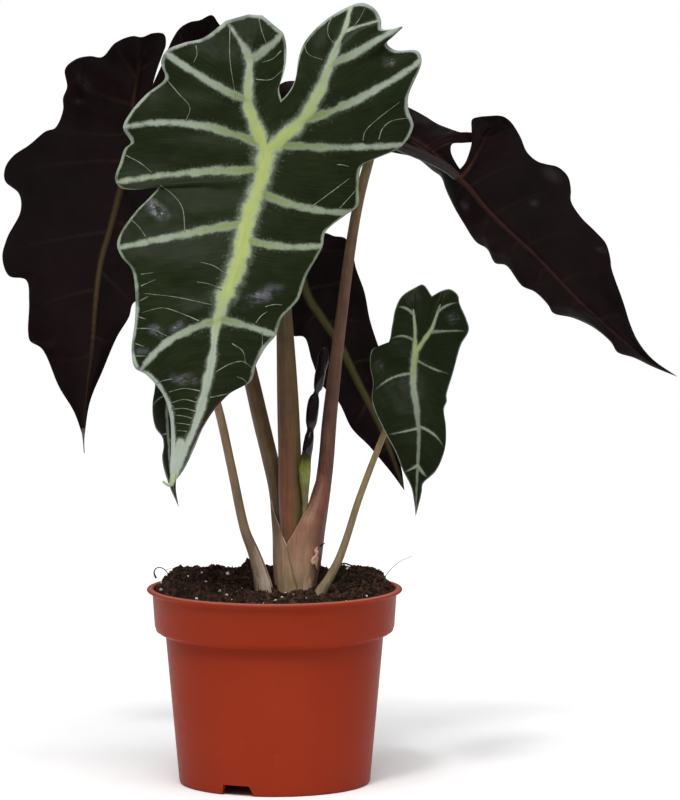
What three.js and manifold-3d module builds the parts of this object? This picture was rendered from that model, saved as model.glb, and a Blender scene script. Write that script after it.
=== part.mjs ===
// Potted alocasia: a small arrow-leaved plant in a round terracotta-coloured nursery pot.
// Millimetres, +Z up, +X to the viewer's right, +Y away from the viewer.
// The origin is the middle of the pot's resting face, on the pot's axis.

import * as THREE from 'three';
import { mergeVertices } from 'three/addons/utils/BufferGeometryUtils.js';
import Module from 'manifold-3d';

const wasm = await Module();
wasm.setup();

// ---------------------------------------------------------------- driving sizes

const POT = {
  rimRadius: 60,
  height: 92,
  lipHeight: 2.4,
  collarTopRadius: 58,
  collarFootRadius: 56.3,
  collarFoot: 72,
  wallTopRadius: 51.4,
  baseRadius: 45,
  wall: 1.4,
  floorTop: 7.6,
  channelHeight: 6,
  padRadius: 14,
  footWidth: 1.8,
  sides: 40,
};

// Drainage notches through the foot ring, and drain holes through the raised channel.
const NOTCH = { count: 3, firstAngle: -112, widthBelow: 17, widthAbove: 14.5, height: 4.8 };
const DRAIN = { count: 6, radius: 4, ringRadius: 28, sides: 14 };

const SOIL = {
  clearance: 0.3,
  edgeHeight: 86.5,
  mound: 5.5,
  backRise: 4,
  lumps: 1.5,
  rings: 8,
  sides: 36,
};

const BLADE_THICKNESS = 0.8;
const JOIN_GAP = 0.3;

// The blades and stalks are laid out as the photograph shows them: a point is given by its pixel
// in the 680 x 800 picture and by its depth in mm, and lies on the line of sight through it.
const SIGHT = {
  distance: 2600,
  height: 445.8,
  pitch: THREE.MathUtils.degToRad(5.83),
  focalPixels: 5585.8,
  middle: [340, 400],
  potAxisPixel: 274,
};
const MM_PER_PIXEL = SIGHT.distance / SIGHT.focalPixels;
const EYE = new THREE.Vector3(
  (SIGHT.middle[0] - SIGHT.potAxisPixel) * MM_PER_PIXEL,
  -SIGHT.distance,
  SIGHT.height,
);

function seen([px, py], depth) {
  const sideways = (px - SIGHT.middle[0]) / SIGHT.focalPixels;
  const upward = (SIGHT.middle[1] - py) / SIGHT.focalPixels;
  const ray = new THREE.Vector3(
    sideways,
    Math.cos(SIGHT.pitch) + upward * Math.sin(SIGHT.pitch),
    upward * Math.cos(SIGHT.pitch) - Math.sin(SIGHT.pitch),
  );
  return EYE.clone().addScaledVector(ray, (depth + SIGHT.distance) / ray.y);
}

// ---------------------------------------------------------------- the six leaf blades

// Pixels along the margin, midrib and main veins of each blade. "notch" is the bottom of the
// cleft between the two back lobes, "stalk" the point where the leaf stalk joins. A vein is
// [foot, point on the way, end on the margin]; the blade is quilted between its veins.
// The lie of a blade is in mm: its depth at the stalk, how fast it leans towards the tip and
// towards the back lobes, its arch, and how far each half turns away from the midrib.
const BLADES = {
  blade_front: {
    upperFaceToViewer: true,
    stalk: [265, 150],
    notch: [281.5, 100],
    tip: [171, 486],
    midrib: [[262, 175], [255, 197], [247.5, 220], [241, 250], [232.5, 277], [222.5, 305],
      [216, 325], [213, 350], [209, 375], [203, 400], [195, 425], [185, 450]],
    left: {
      edge: [[279, 88], [283, 76], [286, 62], [286, 43], [282, 30], [276, 18], [256, 15], [233, 15],
        [223, 23], [203, 38], [183, 43], [166, 51], [161, 63], [165, 78], [146, 94.5], [130, 113],
        [123, 128], [131, 143], [125, 148], [120, 162.5], [115, 179], [120, 187.5], [131, 189.5],
        [142, 189], [151, 188], [158, 187], [149, 198], [136, 211], [121, 232], [117, 245], [121.5, 257],
        [131.5, 269], [135, 288.5], [135, 318], [131.5, 351.5], [135, 368], [146.5, 375],
        [163, 395], [170, 418], [171, 448], [170, 470]],
      lobeVein: [[255, 125], [248, 102], [249, 80], [250, 60]],
      lobeTip: [256, 15],
      inner: [[[250, 60], [270, 52], [281, 33]]],
      outer: [[[250, 60], [242, 42], [231, 22]], [[247, 100], [207, 75], [165, 53]],
        [[259, 148], [190, 124], [124, 127]], [[257, 169], [200, 172], [117, 182]],
        [[254, 193], [205, 187], [158, 187]],
        [[248, 222], [185, 234], [118, 248]],
        [[228, 290], [185, 294], [135, 292]], [[216, 320], [175, 337], [140, 371]],
        [[206, 388], [190, 390], [165, 398]]],
      turn: 0.1,
      curl: 5,
    },
    right: {
      edge: [[288, 93], [295, 80], [299, 56], [306, 40], [325.5, 20], [345.5, 8], [362, 2.7],
        [375, 9], [381, 20], [382, 29], [392, 29], [403, 26.5], [395, 35], [387, 43], [395, 50],
        [418, 51], [421.7, 61], [408.5, 96], [408.5, 109.5], [413.4, 126], [402, 146], [375, 159],
        [362, 166], [358.7, 186], [358, 205.6], [345, 215.6], [325.5, 232], [323, 245], [319, 254],
        [307, 275], [299, 298.5], [294, 305], [282, 318], [276, 335], [266, 347], [256, 365],
        [251, 381], [233, 391], [216, 408], [203, 428], [194.5, 448], [183, 471]],
      lobeVein: [[287, 135], [300, 122], [312, 105], [322, 85], [330, 65], [338, 43]],
      lobeTip: [360, 3],
      inner: [[[315, 99], [306, 80], [299, 56]], [[330, 65], [326, 44], [328, 19]]],
      outer: [[[336, 49], [358, 29], [381, 20]], [[332, 66], [362, 49], [398, 29]],
        [[300, 122], [362, 97], [421, 60]], [[277, 148], [325, 147], [403, 144]],
        [[258, 190], [305, 208], [350, 212]], [[244, 240], [278, 246], [323, 246]],
        [[232, 276], [262, 285], [303, 288]], [[218, 318], [250, 327], [277, 336]],
        [[206, 388], [228, 388], [251, 381]]],
      turn: 0.1,
      curl: 6,
    },
    lie: { depth: -22, lean: -0.3, lobeLean: 0.16, arch: -9, quilt: 2.4, wave: 1.6 },
  },

  blade_left: {
    upperFaceToViewer: false,
    stalk: [140, 130],
    notch: [153, 84],
    tip: [84, 440],
    midrib: [[130, 158], [120, 192], [110, 230], [101, 262], [96, 300], [92, 350], [87, 395]],
    left: {
      edge: [[157, 70], [162, 56], [166, 44], [164, 34], [153, 33], [142, 37], [132, 36], [115, 43],
        [102, 57], [90, 56], [76, 59], [65, 69], [67, 87], [63, 98], [63, 110], [55, 128],
        [46, 131], [29, 145], [13, 156], [5, 168], [5, 181], [19, 194], [20.5, 211], [7, 238],
        [2.3, 258], [9, 276], [26, 280], [29, 302], [28, 331.5], [30, 341], [42, 349], [59, 387],
        [74, 412]],
      lobeVein: [[134, 110], [136, 88], [141, 62]],
      lobeTip: [148, 34],
      inner: [[[138, 72], [150, 64], [163, 50]]],
      outer: [[[137, 80], [126, 60], [115, 43]], [[134, 104], [100, 94], [66, 72]],
        [[138, 132], [95, 134], [57, 127]], [[128, 162], [60, 164], [4, 175]],
        [[110, 230], [55, 240], [3, 252]], [[97, 290], [60, 298], [29, 312]],
        [[91, 355], [68, 360], [46, 357]]],
      turn: 0.06,
      curl: -6,
    },
    right: {
      edge: [[162, 64], [172, 40], [180, 28], [190, 22], [200, 20], [212, 15], [219, 24],
        [238, 45], [244, 75], [240, 110], [232, 150], [225, 190], [205, 225], [190, 255],
        [170, 280], [150, 296], [133.5, 303], [129, 317], [117, 337], [103, 370], [90, 402]],
      lobeVein: [[158, 112], [184, 82], [200, 55]],
      lobeTip: [210, 16],
      inner: [[[190, 72], [184, 50], [181, 29]]],
      outer: [[[196, 62], [218, 50], [236, 42]], [[170, 98], [205, 104], [240, 112]],
        [[139, 134], [185, 140], [231, 152]], [[128, 162], [178, 178], [223, 193]],
        [[113, 220], [155, 238], [190, 255]], [[99, 270], [117, 287], [134, 303]],
        [[93, 335], [103, 340], [115, 341]]],
      turn: 0.06,
      curl: -4,
    },
    lie: { depth: 32, lean: 0.32, lobeLean: -0.1, arch: 8, quilt: 2.2, wave: 2 },
  },

  blade_right: {
    upperFaceToViewer: false,
    stalk: [460, 179],
    notch: [460, 169],
    tip: [678, 377],
    midrib: [[470, 189], [485, 207], [508, 230], [533, 253], [557, 278], [581, 303], [612, 331],
      [632, 348], [650, 362]],
    left: {
      edge: [[456, 163], [451, 152], [452, 144], [463, 143], [474, 141], [473, 133], [462, 132.5],
        [448, 128], [437, 123.5], [425, 116], [410, 108], [390, 99], [362, 94], [328, 84],
        [300, 81], [284, 82], [275, 90], [281, 102], [300, 114], [330, 126], [362, 138],
        [382, 150], [395, 153], [416, 158], [433, 171], [441, 177], [446, 190], [454, 207],
        [464, 224], [476, 242], [487, 249], [495, 263], [506, 265.5], [522, 286], [535, 292],
        [548, 305], [553, 313], [573, 318], [594, 328], [611.5, 343], [617, 352], [634.5, 358],
        [652, 366.5]],
      lobeVein: [[451, 170], [438, 158], [415, 141], [380, 125], [340, 108], [305, 98]],
      lobeTip: [275, 90],
      inner: [[[438, 158], [445, 153.5], [451, 149]], [[433, 153.5], [446, 145], [458, 143.3]],
        [[429, 150], [449, 140.5], [474, 141]], [[425, 147.5], [448, 136.5], [473, 135]],
        [[400, 133], [405, 120], [411, 108]], [[345, 110], [345, 99], [345, 88]]],
      outer: [[[345, 110], [335, 120], [330, 126]], [[400, 133], [390, 143], [384, 151]],
        [[440, 160], [433, 165], [433, 171]], [[464, 183], [457, 195], [453, 206]],
        [[490, 212], [484, 235], [488, 250]], [[518, 239], [510, 255], [507, 266]],
        [[545, 266], [537, 282], [536, 293]], [[578, 300], [570, 309], [573, 318]],
        [[620, 336], [614, 343], [615, 349]]],
      turn: 0.3,
      curl: 5,
    },
    right: {
      edge: [[465, 163], [469, 153], [471.5, 143], [471.5, 130], [472, 119.5], [478, 117], [487, 116],
        [502, 116], [510, 121], [520, 136], [527, 152], [537, 161], [546, 164], [558, 167],
        [568, 176.5], [571, 190], [571, 201], [581, 217], [596, 232], [606, 243.5], [610.5, 259],
        [611.5, 268], [623, 301], [631, 326], [638, 341], [652, 358.5]],
      lobeVein: [[467, 171], [475, 158], [482, 145], [488, 132]],
      lobeTip: [494, 116],
      inner: [[[475, 158], [473, 151], [471, 143]], [[484, 141], [478, 131], [472, 121]]],
      outer: [[[484, 140], [500, 133], [516, 130]], [[468, 187], [505, 168], [540, 162]],
        [[492, 214], [535, 195], [571, 186]], [[525, 246], [565, 232], [598, 234]],
        [[560, 281], [590, 272], [613, 273]], [[600, 320], [618, 316], [629, 320]]],
      turn: -0.12,
      curl: -5,
    },
    lie: { depth: 34, lean: 0.3, lobeLean: -0.06, arch: 7, quilt: 2.2, wave: 2 },
  },

  blade_rear: {
    upperFaceToViewer: false,
    stalk: [300, 270],
    notch: [311, 242],
    tip: [404.6, 491],
    midrib: [[309, 298], [320, 315], [340, 345], [357, 380], [372.5, 410], [386, 440],
      [397.5, 470]],
    left: {
      edge: [[304, 232], [294, 227], [284, 231], [277, 245], [273, 268], [276, 295], [288, 330],
        [293, 336], [304, 337], [312, 361], [322, 385], [338.5, 402], [351.5, 428], [369, 446],
        [380, 459], [393, 475]],
      lobeVein: [[296, 256], [290, 245]],
      lobeTip: [284, 230],
      inner: [[[292, 248], [297, 240], [302, 231]]],
      outer: [[[293, 251], [284, 249], [276, 248]], [[300, 272], [287, 280], [275, 287]],
        [[318, 312], [308, 322], [300, 336]], [[342, 349], [332, 364], [322, 385]],
        [[368, 401], [361, 414], [352, 428]], [[388, 446], [383, 451], [381, 460]]],
      turn: 0.1,
      curl: -4,
    },
    right: {
      edge: [[318, 234], [326, 233], [334, 236], [345, 238], [352, 250], [356, 268], [364.5, 292],
        [370, 320], [378, 345], [388, 372], [396, 400], [398, 430], [399, 455], [402.5, 474]],
      lobeVein: [[313, 258], [324, 248]],
      lobeTip: [334, 236],
      inner: [[[318, 253], [317, 244], [318, 235]]],
      outer: [[[320, 251], [335, 250], [351, 249]], [[306, 290], [332, 284], [360, 280]],
        [[326, 324], [350, 320], [372, 325]], [[350, 365], [370, 360], [385, 364]],
        [[370, 405], [385, 402], [397, 408]], [[387, 443], [394, 443], [398, 446]]],
      turn: 0.1,
      curl: -4,
    },
    lie: { depth: 42, lean: 0.24, lobeLean: -0.1, arch: 6, quilt: 1.6, wave: 1.2 },
  },

  blade_small_right: {
    upperFaceToViewer: true,
    stalk: [415, 353],
    notch: [432, 296],
    tip: [415.6, 517],
    midrib: [[413.7, 372], [413.7, 390], [416, 405], [418.7, 432], [418, 460], [416.5, 490]],
    left: {
      edge: [[423, 284.6], [416, 287], [401.5, 296.5], [395, 310], [392, 326], [388, 343],
        [380, 345.5], [372, 350], [370, 366], [373, 383], [372, 401], [385, 432.5], [395, 451],
        [403, 471], [411, 487], [414, 502]],
      lobeVein: [[415, 330], [413.5, 310]],
      lobeTip: [409, 291],
      inner: [],
      outer: [[[414, 314], [405, 308], [396, 307]], [[415, 341], [403, 336], [389, 340]],
        [[413.7, 374], [392, 378], [373, 394]], [[418, 429], [402, 432], [386, 435]],
        [[417.5, 465], [409, 470], [404, 472]]],
      turn: 0.12,
      curl: 2,
    },
    right: {
      edge: [[441, 291], [450, 289], [458, 295], [459.5, 303], [466, 318], [469, 330], [461, 345],
        [453, 373], [446.5, 396], [447, 401], [444, 409], [446, 427.5], [445, 449], [436, 471],
        [423, 484], [422, 491], [420, 500.5]],
      lobeVein: [[424, 340], [431, 330], [436, 317], [440, 305]],
      lobeTip: [450, 289],
      inner: [],
      outer: [[[438, 311], [448, 305], [459, 303]], [[430, 332], [446, 331], [468, 331]],
        [[414, 358], [434, 369], [453, 374]], [[418, 426], [432, 433], [445, 450]],
        [[417.5, 465], [424, 474], [429, 479]]],
      turn: 0.12,
      curl: 2,
    },
    lie: { depth: -14, lean: -0.3, lobeLean: 0.12, arch: -5, quilt: 1.6, wave: 0.8 },
  },

  blade_small_left: {
    upperFaceToViewer: true,
    stalk: [190, 338],
    notch: [190, 314],
    tip: [179, 508],
    midrib: [[180, 360], [171, 385], [167, 410], [168.5, 440], [170.5, 470], [173.5, 488]],
    left: {
      edge: [[184, 305], [176, 304], [166, 312], [158, 330], [154, 355], [155, 385], [152.5, 403.5],
        [153, 418], [156, 429], [162, 437], [163.5, 447], [162, 456], [164, 470], [170, 488]],
      lobeVein: [[182, 324], [175, 315]],
      lobeTip: [170, 306],
      inner: [],
      outer: [[[180, 321], [168, 322], [160, 324]], [[184, 351], [168, 356], [154, 362]],
        [[169, 395], [160, 398], [152.5, 408]], [[168, 434], [165, 434], [161, 436]]],
      turn: 0.9,
      curl: 2,
    },
    right: {
      edge: [[196, 305], [206, 301], [216, 304], [223, 318], [224, 345], [217, 380], [204, 412],
        [193, 430], [186, 448], [178, 470], [176, 488]],
      lobeVein: [[198, 324], [207, 314]],
      lobeTip: [213, 303],
      inner: [],
      outer: [[[204, 317], [213, 318], [223, 320]], [[182, 356], [202, 360], [222, 360]],
        [[169, 395], [188, 402], [206, 408]], [[166, 438], [177, 446], [186, 450]]],
      turn: 0.35,
      curl: 2,
    },
    lie: { depth: -28, lean: -0.14, lobeLean: 0.1, arch: -3, quilt: 1.2, wave: 0.6 },
  },
};

// How finely a blade is divided: the spacing of its grid lines in pixels, and the places along
// each line from the midrib (0) to the margin (1).
const BLADE_GRID = {
  large: { spacing: 13, along: [0, 0.07, 0.36, 0.7, 1] },
  small: { spacing: 12, along: [0, 0.12, 0.5, 1] },
};
const MIDRIB_RELIEF = { large: 1.7, small: 0.8 };
const MIDRIB_FLANK_PIXELS = 3.4;

// Where a blade stands nearly edge-on to the line of sight its thickness grows no further.
const STEEPEST_FACING = 0.4;

// A bay at least this wide along the margin is quilted in full, and a narrower one less.
const FULL_QUILT_PIXELS = 60;

// A smooth curve through hand-placed points, cut into short straight steps of known length.
function tracedCurve(points) {
  const stops = points.map(([x, y]) => new THREE.Vector3(x, y, 0));
  const curve = new THREE.CatmullRomCurve3(stops, false, 'centripetal');
  const steps = points.length * 12;
  const samples = [];
  let length = 0;
  for (let i = 0; i <= steps; i += 1) {
    const point = curve.getPoint(i / steps);
    if (i > 0) length += point.distanceTo(samples[i - 1].point);
    samples.push({ point, length });
  }
  return {
    length,
    at(distance) {
      let i = 1;
      while (i < samples.length - 1 && samples[i].length < distance) i += 1;
      const before = samples[i - 1];
      const after = samples[i];
      const part = (distance - before.length) / (after.length - before.length);
      return before.point.clone().lerp(after.point, THREE.MathUtils.clamp(part, 0, 1));
    },
    nearest([x, y], from = 0, to = Infinity) {
      let best = null;
      for (const sample of samples) {
        if (sample.length < from - 1e-6 || sample.length > to + 1e-6) continue;
        const gap = Math.hypot(sample.point.x - x, sample.point.y - y);
        if (!best || gap < best.gap) best = { gap, length: sample.length };
      }
      return best.length;
    },
  };
}

// One half of a blade as veins that fan out from its spine. The spine is walked from the stalk
// out along the lobe vein, back to the stalk and down the midrib, while the margin is walked
// from the notch round the lobe to the tip. A vein ties a place on the one to a place on the other.
function tieVeins(blade, half, midrib) {
  const margin = tracedCurve([blade.notch, ...half.edge, blade.tip]);
  const lobe = tracedCurve([blade.stalk, ...half.lobeVein]);
  const lobeTip = margin.nearest(half.lobeTip);
  const ties = [{ spine: 0, margin: 0, bow: new THREE.Vector3() }];

  const tie = (vein, spine, from, to) => {
    const [, via, end] = vein;
    const place = margin.nearest(end, from, to);
    const foot = spinePoint(lobe, midrib, spine);
    const rim = margin.at(place);
    const chord = rim.clone().sub(foot);
    const middle = new THREE.Vector3(via[0], via[1], 0).sub(foot);
    const part = THREE.MathUtils.clamp(middle.dot(chord) / chord.lengthSq(), 0.25, 0.75);
    const bow = middle.addScaledVector(chord, -part).divideScalar(2 * part * (1 - part));
    ties.push({ spine, margin: place, bow, vein: true });
  };

  for (const vein of half.inner) {
    tie(vein, lobe.nearest(vein[0]), ties.at(-1).margin, lobeTip);
  }
  const wrapStart = (ties.at(-1).margin + lobeTip * 3) / 4;
  ties.push({ spine: lobe.length, margin: wrapStart, bow: new THREE.Vector3() });
  const wrap = ties.length;
  const firstOuter = margin.nearest(half.outer[0][2], lobeTip);
  const wrapEnd = (firstOuter + lobeTip * 3) / 4;
  ties.push({ spine: lobe.length, margin: wrapEnd, bow: new THREE.Vector3() });
  for (const vein of half.outer) {
    const onLobe = lobe.nearest(vein[0]);
    const onMidrib = midrib.nearest(vein[0]);
    const lobeGap = lobe.at(onLobe).distanceTo(new THREE.Vector3(...vein[0], 0));
    const midribGap = midrib.at(onMidrib).distanceTo(new THREE.Vector3(...vein[0], 0));
    const spine = lobeGap < midribGap ? 2 * lobe.length - onLobe : 2 * lobe.length + onMidrib;
    tie(vein, Math.max(spine, ties.at(-1).spine + 0.5), ties.at(-1).margin, margin.length);
  }
  ties.push({ spine: 2 * lobe.length + midrib.length, margin: margin.length, bow: new THREE.Vector3() });
  return { margin, lobe, ties, lobeTip, wrap };
}

function spinePoint(lobe, midrib, spine) {
  if (spine <= lobe.length) return lobe.at(spine);
  if (spine <= 2 * lobe.length) return lobe.at(2 * lobe.length - spine);
  return midrib.at(spine - 2 * lobe.length);
}

// Where the grid line that leaves the spine at a given place meets the margin, how it bows, and
// how far it lies across the bay between its two veins.
function lineAt({ ties, wrap, lobe }, spine, onWayOut) {
  const [first, last] = onWayOut ? [0, wrap - 1] : [wrap, ties.length - 1];
  const reached = Math.min(spine, onWayOut ? lobe.length : Infinity);
  let i = first;
  while (i < last - 1 && ties[i + 1].spine < reached - 1e-6) i += 1;
  const [a, b] = [ties[i], ties[i + 1]];
  const part = THREE.MathUtils.clamp((reached - a.spine) / Math.max(b.spine - a.spine, 1e-6), 0, 1);
  return {
    spine: reached,
    margin: THREE.MathUtils.lerp(a.margin, b.margin, part),
    bow: a.bow.clone().lerp(b.bow, part),
    bay: part,
    bayWidth: b.margin - a.margin,
  };
}

// The given places with others filled in evenly, so that no stretch is longer than the spacing.
function filled(places, spacing, stretch) {
  const sorted = [...places].sort((a, b) => a - b);
  const result = [sorted[0]];
  for (const place of sorted.slice(1)) {
    const start = result.at(-1);
    const gap = place - start;
    if (gap < spacing * 0.3) continue;
    const parts = Math.max(1, Math.round(stretch(start, place) / spacing));
    for (let i = 1; i <= parts; i += 1) result.push(start + (gap * i) / parts);
  }
  result[result.length - 1] = sorted.at(-1);
  return result;
}

// The grid lines of one half, from the notch round the back lobe to the tip.
function gridLines(tied, midribPlaces, spacing) {
  const { lobe, ties, wrap } = tied;
  const lobePlaces = filled(
    [0, lobe.length, ...ties.filter((t) => t.vein && t.spine < 2 * lobe.length)
      .map((t) => (t.spine <= lobe.length ? t.spine : 2 * lobe.length - t.spine))],
    spacing,
    (from, to) => Math.max(
      lineAt(tied, to, true).margin - lineAt(tied, from, true).margin,
      lineAt(tied, 2 * lobe.length - from, false).margin
        - lineAt(tied, 2 * lobe.length - to, false).margin,
    ),
  );
  const lines = lobePlaces.map((place) => lineAt(tied, place, true));
  const wrapFrom = ties[wrap - 1].margin;
  const wrapLength = ties[wrap].margin - wrapFrom;
  const turns = Math.max(2, Math.round(wrapLength / spacing));
  for (let i = 1; i < turns; i += 1) {
    const margin = wrapFrom + (wrapLength * i) / turns;
    lines.push({
      spine: lobe.length,
      margin,
      bow: new THREE.Vector3(),
      bay: i / turns,
      bayWidth: wrapLength,
    });
  }
  for (const place of [...lobePlaces].reverse()) {
    lines.push(lineAt(tied, 2 * lobe.length - place, false));
  }
  for (const place of midribPlaces.slice(1)) {
    lines.push(lineAt(tied, 2 * lobe.length + place, false));
  }
  return lines;
}

const smooth = (low, high, x) => THREE.MathUtils.smoothstep(x, low, high);

// Depth in mm of a point of the blade, from where it lies in the picture and on its vein.
function bladeDepth(blade, half, tied, line, pixel, along, reach) {
  const { lie } = blade;
  const down = new THREE.Vector2(blade.tip[0] - blade.stalk[0], blade.tip[1] - blade.stalk[1]);
  const length = down.length() * MM_PER_PIXEL;
  down.normalize();
  const offset = new THREE.Vector2(pixel.x - blade.stalk[0], pixel.y - blade.stalk[1]);
  const forward = offset.dot(down) * MM_PER_PIXEL;
  const softness = 14;
  const bend = Math.sqrt(forward * forward + softness * softness);
  const toTip = (bend + forward) / 2;
  const toLobes = (bend - forward) / 2;
  const facing = blade.upperFaceToViewer ? -1 : 1;
  const away = along * reach * MM_PER_PIXEL;
  const opening = smooth(0, tied.lobeTip * 0.25, line.margin);
  const closing = 1 - smooth(tied.margin.length * 0.9, tied.margin.length, line.margin);
  const bayShape = Math.sin(Math.PI * line.bay) ** 2;
  const ridge = Math.sin(Math.PI * Math.min(1, along * 1.15)) * bayShape
    * Math.min(1, line.bayWidth / FULL_QUILT_PIXELS);
  const ripple = Math.sin(line.margin / 17) * along * along;
  return lie.depth + lie.lean * toTip + lie.lobeLean * toLobes
    + lie.arch * Math.sin(Math.PI * THREE.MathUtils.clamp(forward / length, 0, 1)) ** 2
    + opening * (half.turn * away + half.curl * along * along * closing)
    + opening * closing * (facing * lie.quilt * ridge + lie.wave * ripple);
}

// The middle surface of a blade as welded triangles.
function bladeSurface(blade, grid) {
  const midrib = tracedCurve([blade.stalk, ...blade.midrib, blade.tip]);
  const halves = [blade.left, blade.right].map((half) => ({ half, tied: tieVeins(blade, half, midrib) }));
  const midribTies = halves.flatMap(({ tied: { ties, lobe } }) => ties
    .filter((t) => t.vein && t.spine > 2 * lobe.length)
    .map((t) => t.spine - 2 * lobe.length));
  const midribPlaces = filled([0, midrib.length, ...midribTies], grid.spacing, (from, to) => Math.max(
    to - from,
    ...halves.map(({ tied }) => lineAt(tied, 2 * tied.lobe.length + to, false).margin
      - lineAt(tied, 2 * tied.lobe.length + from, false).margin),
  ));
  const points = [];
  const triangles = [];
  const known = new Map();
  const weld = (position, relief) => {
    const key = position.toArray().map((v) => Math.round(v * 100)).join(' ');
    if (!known.has(key)) {
      known.set(key, points.length);
      points.push({ position, relief });
    }
    return known.get(key);
  };
  const middleOfStalk = midrib.at(0);
  halves.forEach(({ half, tied }, side) => {
    const { lobe, margin } = tied;
    const columns = gridLines(tied, midribPlaces, grid.spacing).map((line) => {
      const foot = spinePoint(lobe, midrib, line.spine);
      const rim = margin.at(line.margin);
      const reach = foot.distanceTo(rim);
      const tipDistance = midrib.length - foot.distanceTo(middleOfStalk);
      const relief = MIDRIB_RELIEF[grid.size] * THREE.MathUtils.clamp(tipDistance / midrib.length, 0.1, 1);
      const [, first, ...others] = grid.along;
      const flank = THREE.MathUtils.clamp(MIDRIB_FLANK_PIXELS / reach, first, 0.4);
      const spread = (along) => flank + ((1 - flank) * (along - first)) / (1 - first);
      return [0, flank, ...others.map(spread)].map((along) => {
        const pixel = foot.clone().lerp(rim, along).addScaledVector(line.bow, 2 * along * (1 - along));
        const depth = bladeDepth(blade, half, tied, line, pixel, along, reach);
        return weld(seen([pixel.x, pixel.y], depth), along === 0 ? relief : 0);
      });
    });
    for (let i = 1; i < columns.length; i += 1) {
      for (let j = 1; j < grid.along.length; j += 1) {
        const a = columns[i - 1][j - 1];
        const b = columns[i][j - 1];
        const c = columns[i][j];
        const d = columns[i - 1][j];
        const corners = side === 0 ? [[a, b, c], [a, c, d]] : [[a, c, b], [a, d, c]];
        for (const corner of corners) {
          if (new Set(corner).size === 3) triangles.push(corner);
        }
      }
    }
  });
  return { points, triangles };
}

// A surface given an even thickness: both faces split alike, joined round the open edge. The
// faces are moved apart along the lines of sight, so that they can't cross however the blade is
// waved. "relief" thickens it on the under side, as the midrib does.
function thickened({ points, triangles }, thickness, underNearest) {
  const normals = points.map(() => new THREE.Vector3());
  for (const [a, b, c] of triangles) {
    const ab = points[b].position.clone().sub(points[a].position);
    const ac = points[c].position.clone().sub(points[a].position);
    const normal = ab.cross(ac);
    for (const corner of [a, b, c]) normals[corner].add(normal);
  }
  const count = points.length;
  const position = new Float32Array(count * 6);
  points.forEach(({ position: middle, relief }, i) => {
    const sight = middle.clone().sub(EYE).normalize();
    const facing = Math.abs(normals[i].normalize().dot(sight));
    const half = thickness / 2 / Math.max(facing, STEEPEST_FACING);
    const near = half + (underNearest ? relief : 0);
    const far = half + (underNearest ? 0 : relief);
    middle.clone().addScaledVector(sight, far).toArray(position, i * 3);
    middle.clone().addScaledVector(sight, -near).toArray(position, (count + i) * 3);
  });
  const used = new Map();
  const index = [];
  for (const [a, b, c] of triangles) {
    index.push(a, b, c, count + a, count + c, count + b);
    for (const [from, to] of [[a, b], [b, c], [c, a]]) used.set(`${from} ${to}`, [from, to]);
  }
  for (const [from, to] of used.values()) {
    if (used.has(`${to} ${from}`)) continue;
    index.push(from, count + from, count + to, from, count + to, to);
  }
  const geometry = new THREE.BufferGeometry();
  geometry.setAttribute('position', new THREE.BufferAttribute(position, 3));
  geometry.setIndex(index);
  return geometry;
}

function bladeGeometry(name, size) {
  const blade = BLADES[name];
  const surface = bladeSurface(blade, { ...BLADE_GRID[size], size });
  return thickened(surface, BLADE_THICKNESS, !blade.upperFaceToViewer);
}

// ---------------------------------------------------------------- leaf stalks and young leaf

// Each stop is [pixel x, pixel y, depth in mm, radius in mm], from the foot upwards.
const STALKS = {
  stalk_front: [[292.5, 545, -3, 5.3], [291.5, 520, -3, 5.5], [290.3, 490, -3, 5.5],
    [290, 460, -3, 5.4], [288, 400, -5, 5], [284, 310, -10, 3.7], [279, 230, -13, 3.2],
    [272, 175, -14.6, 3], [266, 152, -18.7, 2.6]],
  stalk_left: [[283, 545, 4.6, 4], [280.5, 523, 5.2, 3.9], [276.6, 489, 7, 3.8],
    [270.3, 460, 8.5, 3.8], [260.6, 420, 10, 3.8], [249, 370, 12.5, 3.6], [226, 280, 17, 3.3],
    [192, 195, 22, 2.9], [160, 143, 27, 2.5], [142, 130, 29.6, 2]],
  stalk_right: [[313.5, 548, -2, 4.2], [317.7, 523, -1, 4], [322.7, 489, 2, 3.8],
    [326.3, 460, 4.5, 3.6], [329.5, 420, 7.5, 3.4], [338, 345, 12, 2.8], [355, 220, 17, 2.4],
    [367, 168, 20, 2.3], [374, 148, 22, 2.3], [387, 140, 24, 2.4], [402, 147, 26, 2.5],
    [428, 158, 28.6, 2.4], [446, 167.5, 29.9, 2.2], [457, 176.5, 31.2, 2]],
  stalk_rear: [[295, 543, 11, 3.2], [289.5, 465, 18, 3], [287, 400, 24, 2.9], [284, 330, 32, 2.7],
    [289, 292, 37.5, 2.4], [298, 272, 40.3, 1.8]],
  stalk_small_right: [[315, 607, -10, 3.6], [321, 592, -10, 3.5], [327.7, 581, -10, 2.8],
    [334.6, 569, -9.5, 2.3], [339.8, 558, -9, 2.1], [348.4, 535, -8.5, 2], [359, 500, -8, 1.95],
    [383, 436, -7, 1.75], [400, 395, -9, 1.6], [413, 360, -13.6, 1.3]],
  stalk_small_left: [[267, 607, -6, 4.1], [264, 588, -6, 4.2], [260, 572, -6.5, 3.6],
    [254, 553, -7, 2.8], [245, 530, -8, 2.3], [232, 470, -10, 2.1], [219, 411, -14, 2],
    [205, 365, -20, 1.8], [192, 340, -25.9, 1.4]],
};

const YOUNG_LEAF = [[303, 520, -9.5, 2.3], [303.8, 503, -9.4, 2.7], [304.8, 485, -9, 2.9],
  [305, 468, -8.4, 2.8], [307, 452, -7.4, 2.5], [309.5, 438, -6.4, 2.5], [312, 420, -5.6, 2.4],
  [314.5, 405, -5, 2.3], [316, 393, -4.7, 1.5], [319, 381, -4.5, 2.2], [322, 367, -4.5, 2.1],
  [325, 355, -4.5, 1.6], [326, 347, -4.5, 0.8]];

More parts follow.
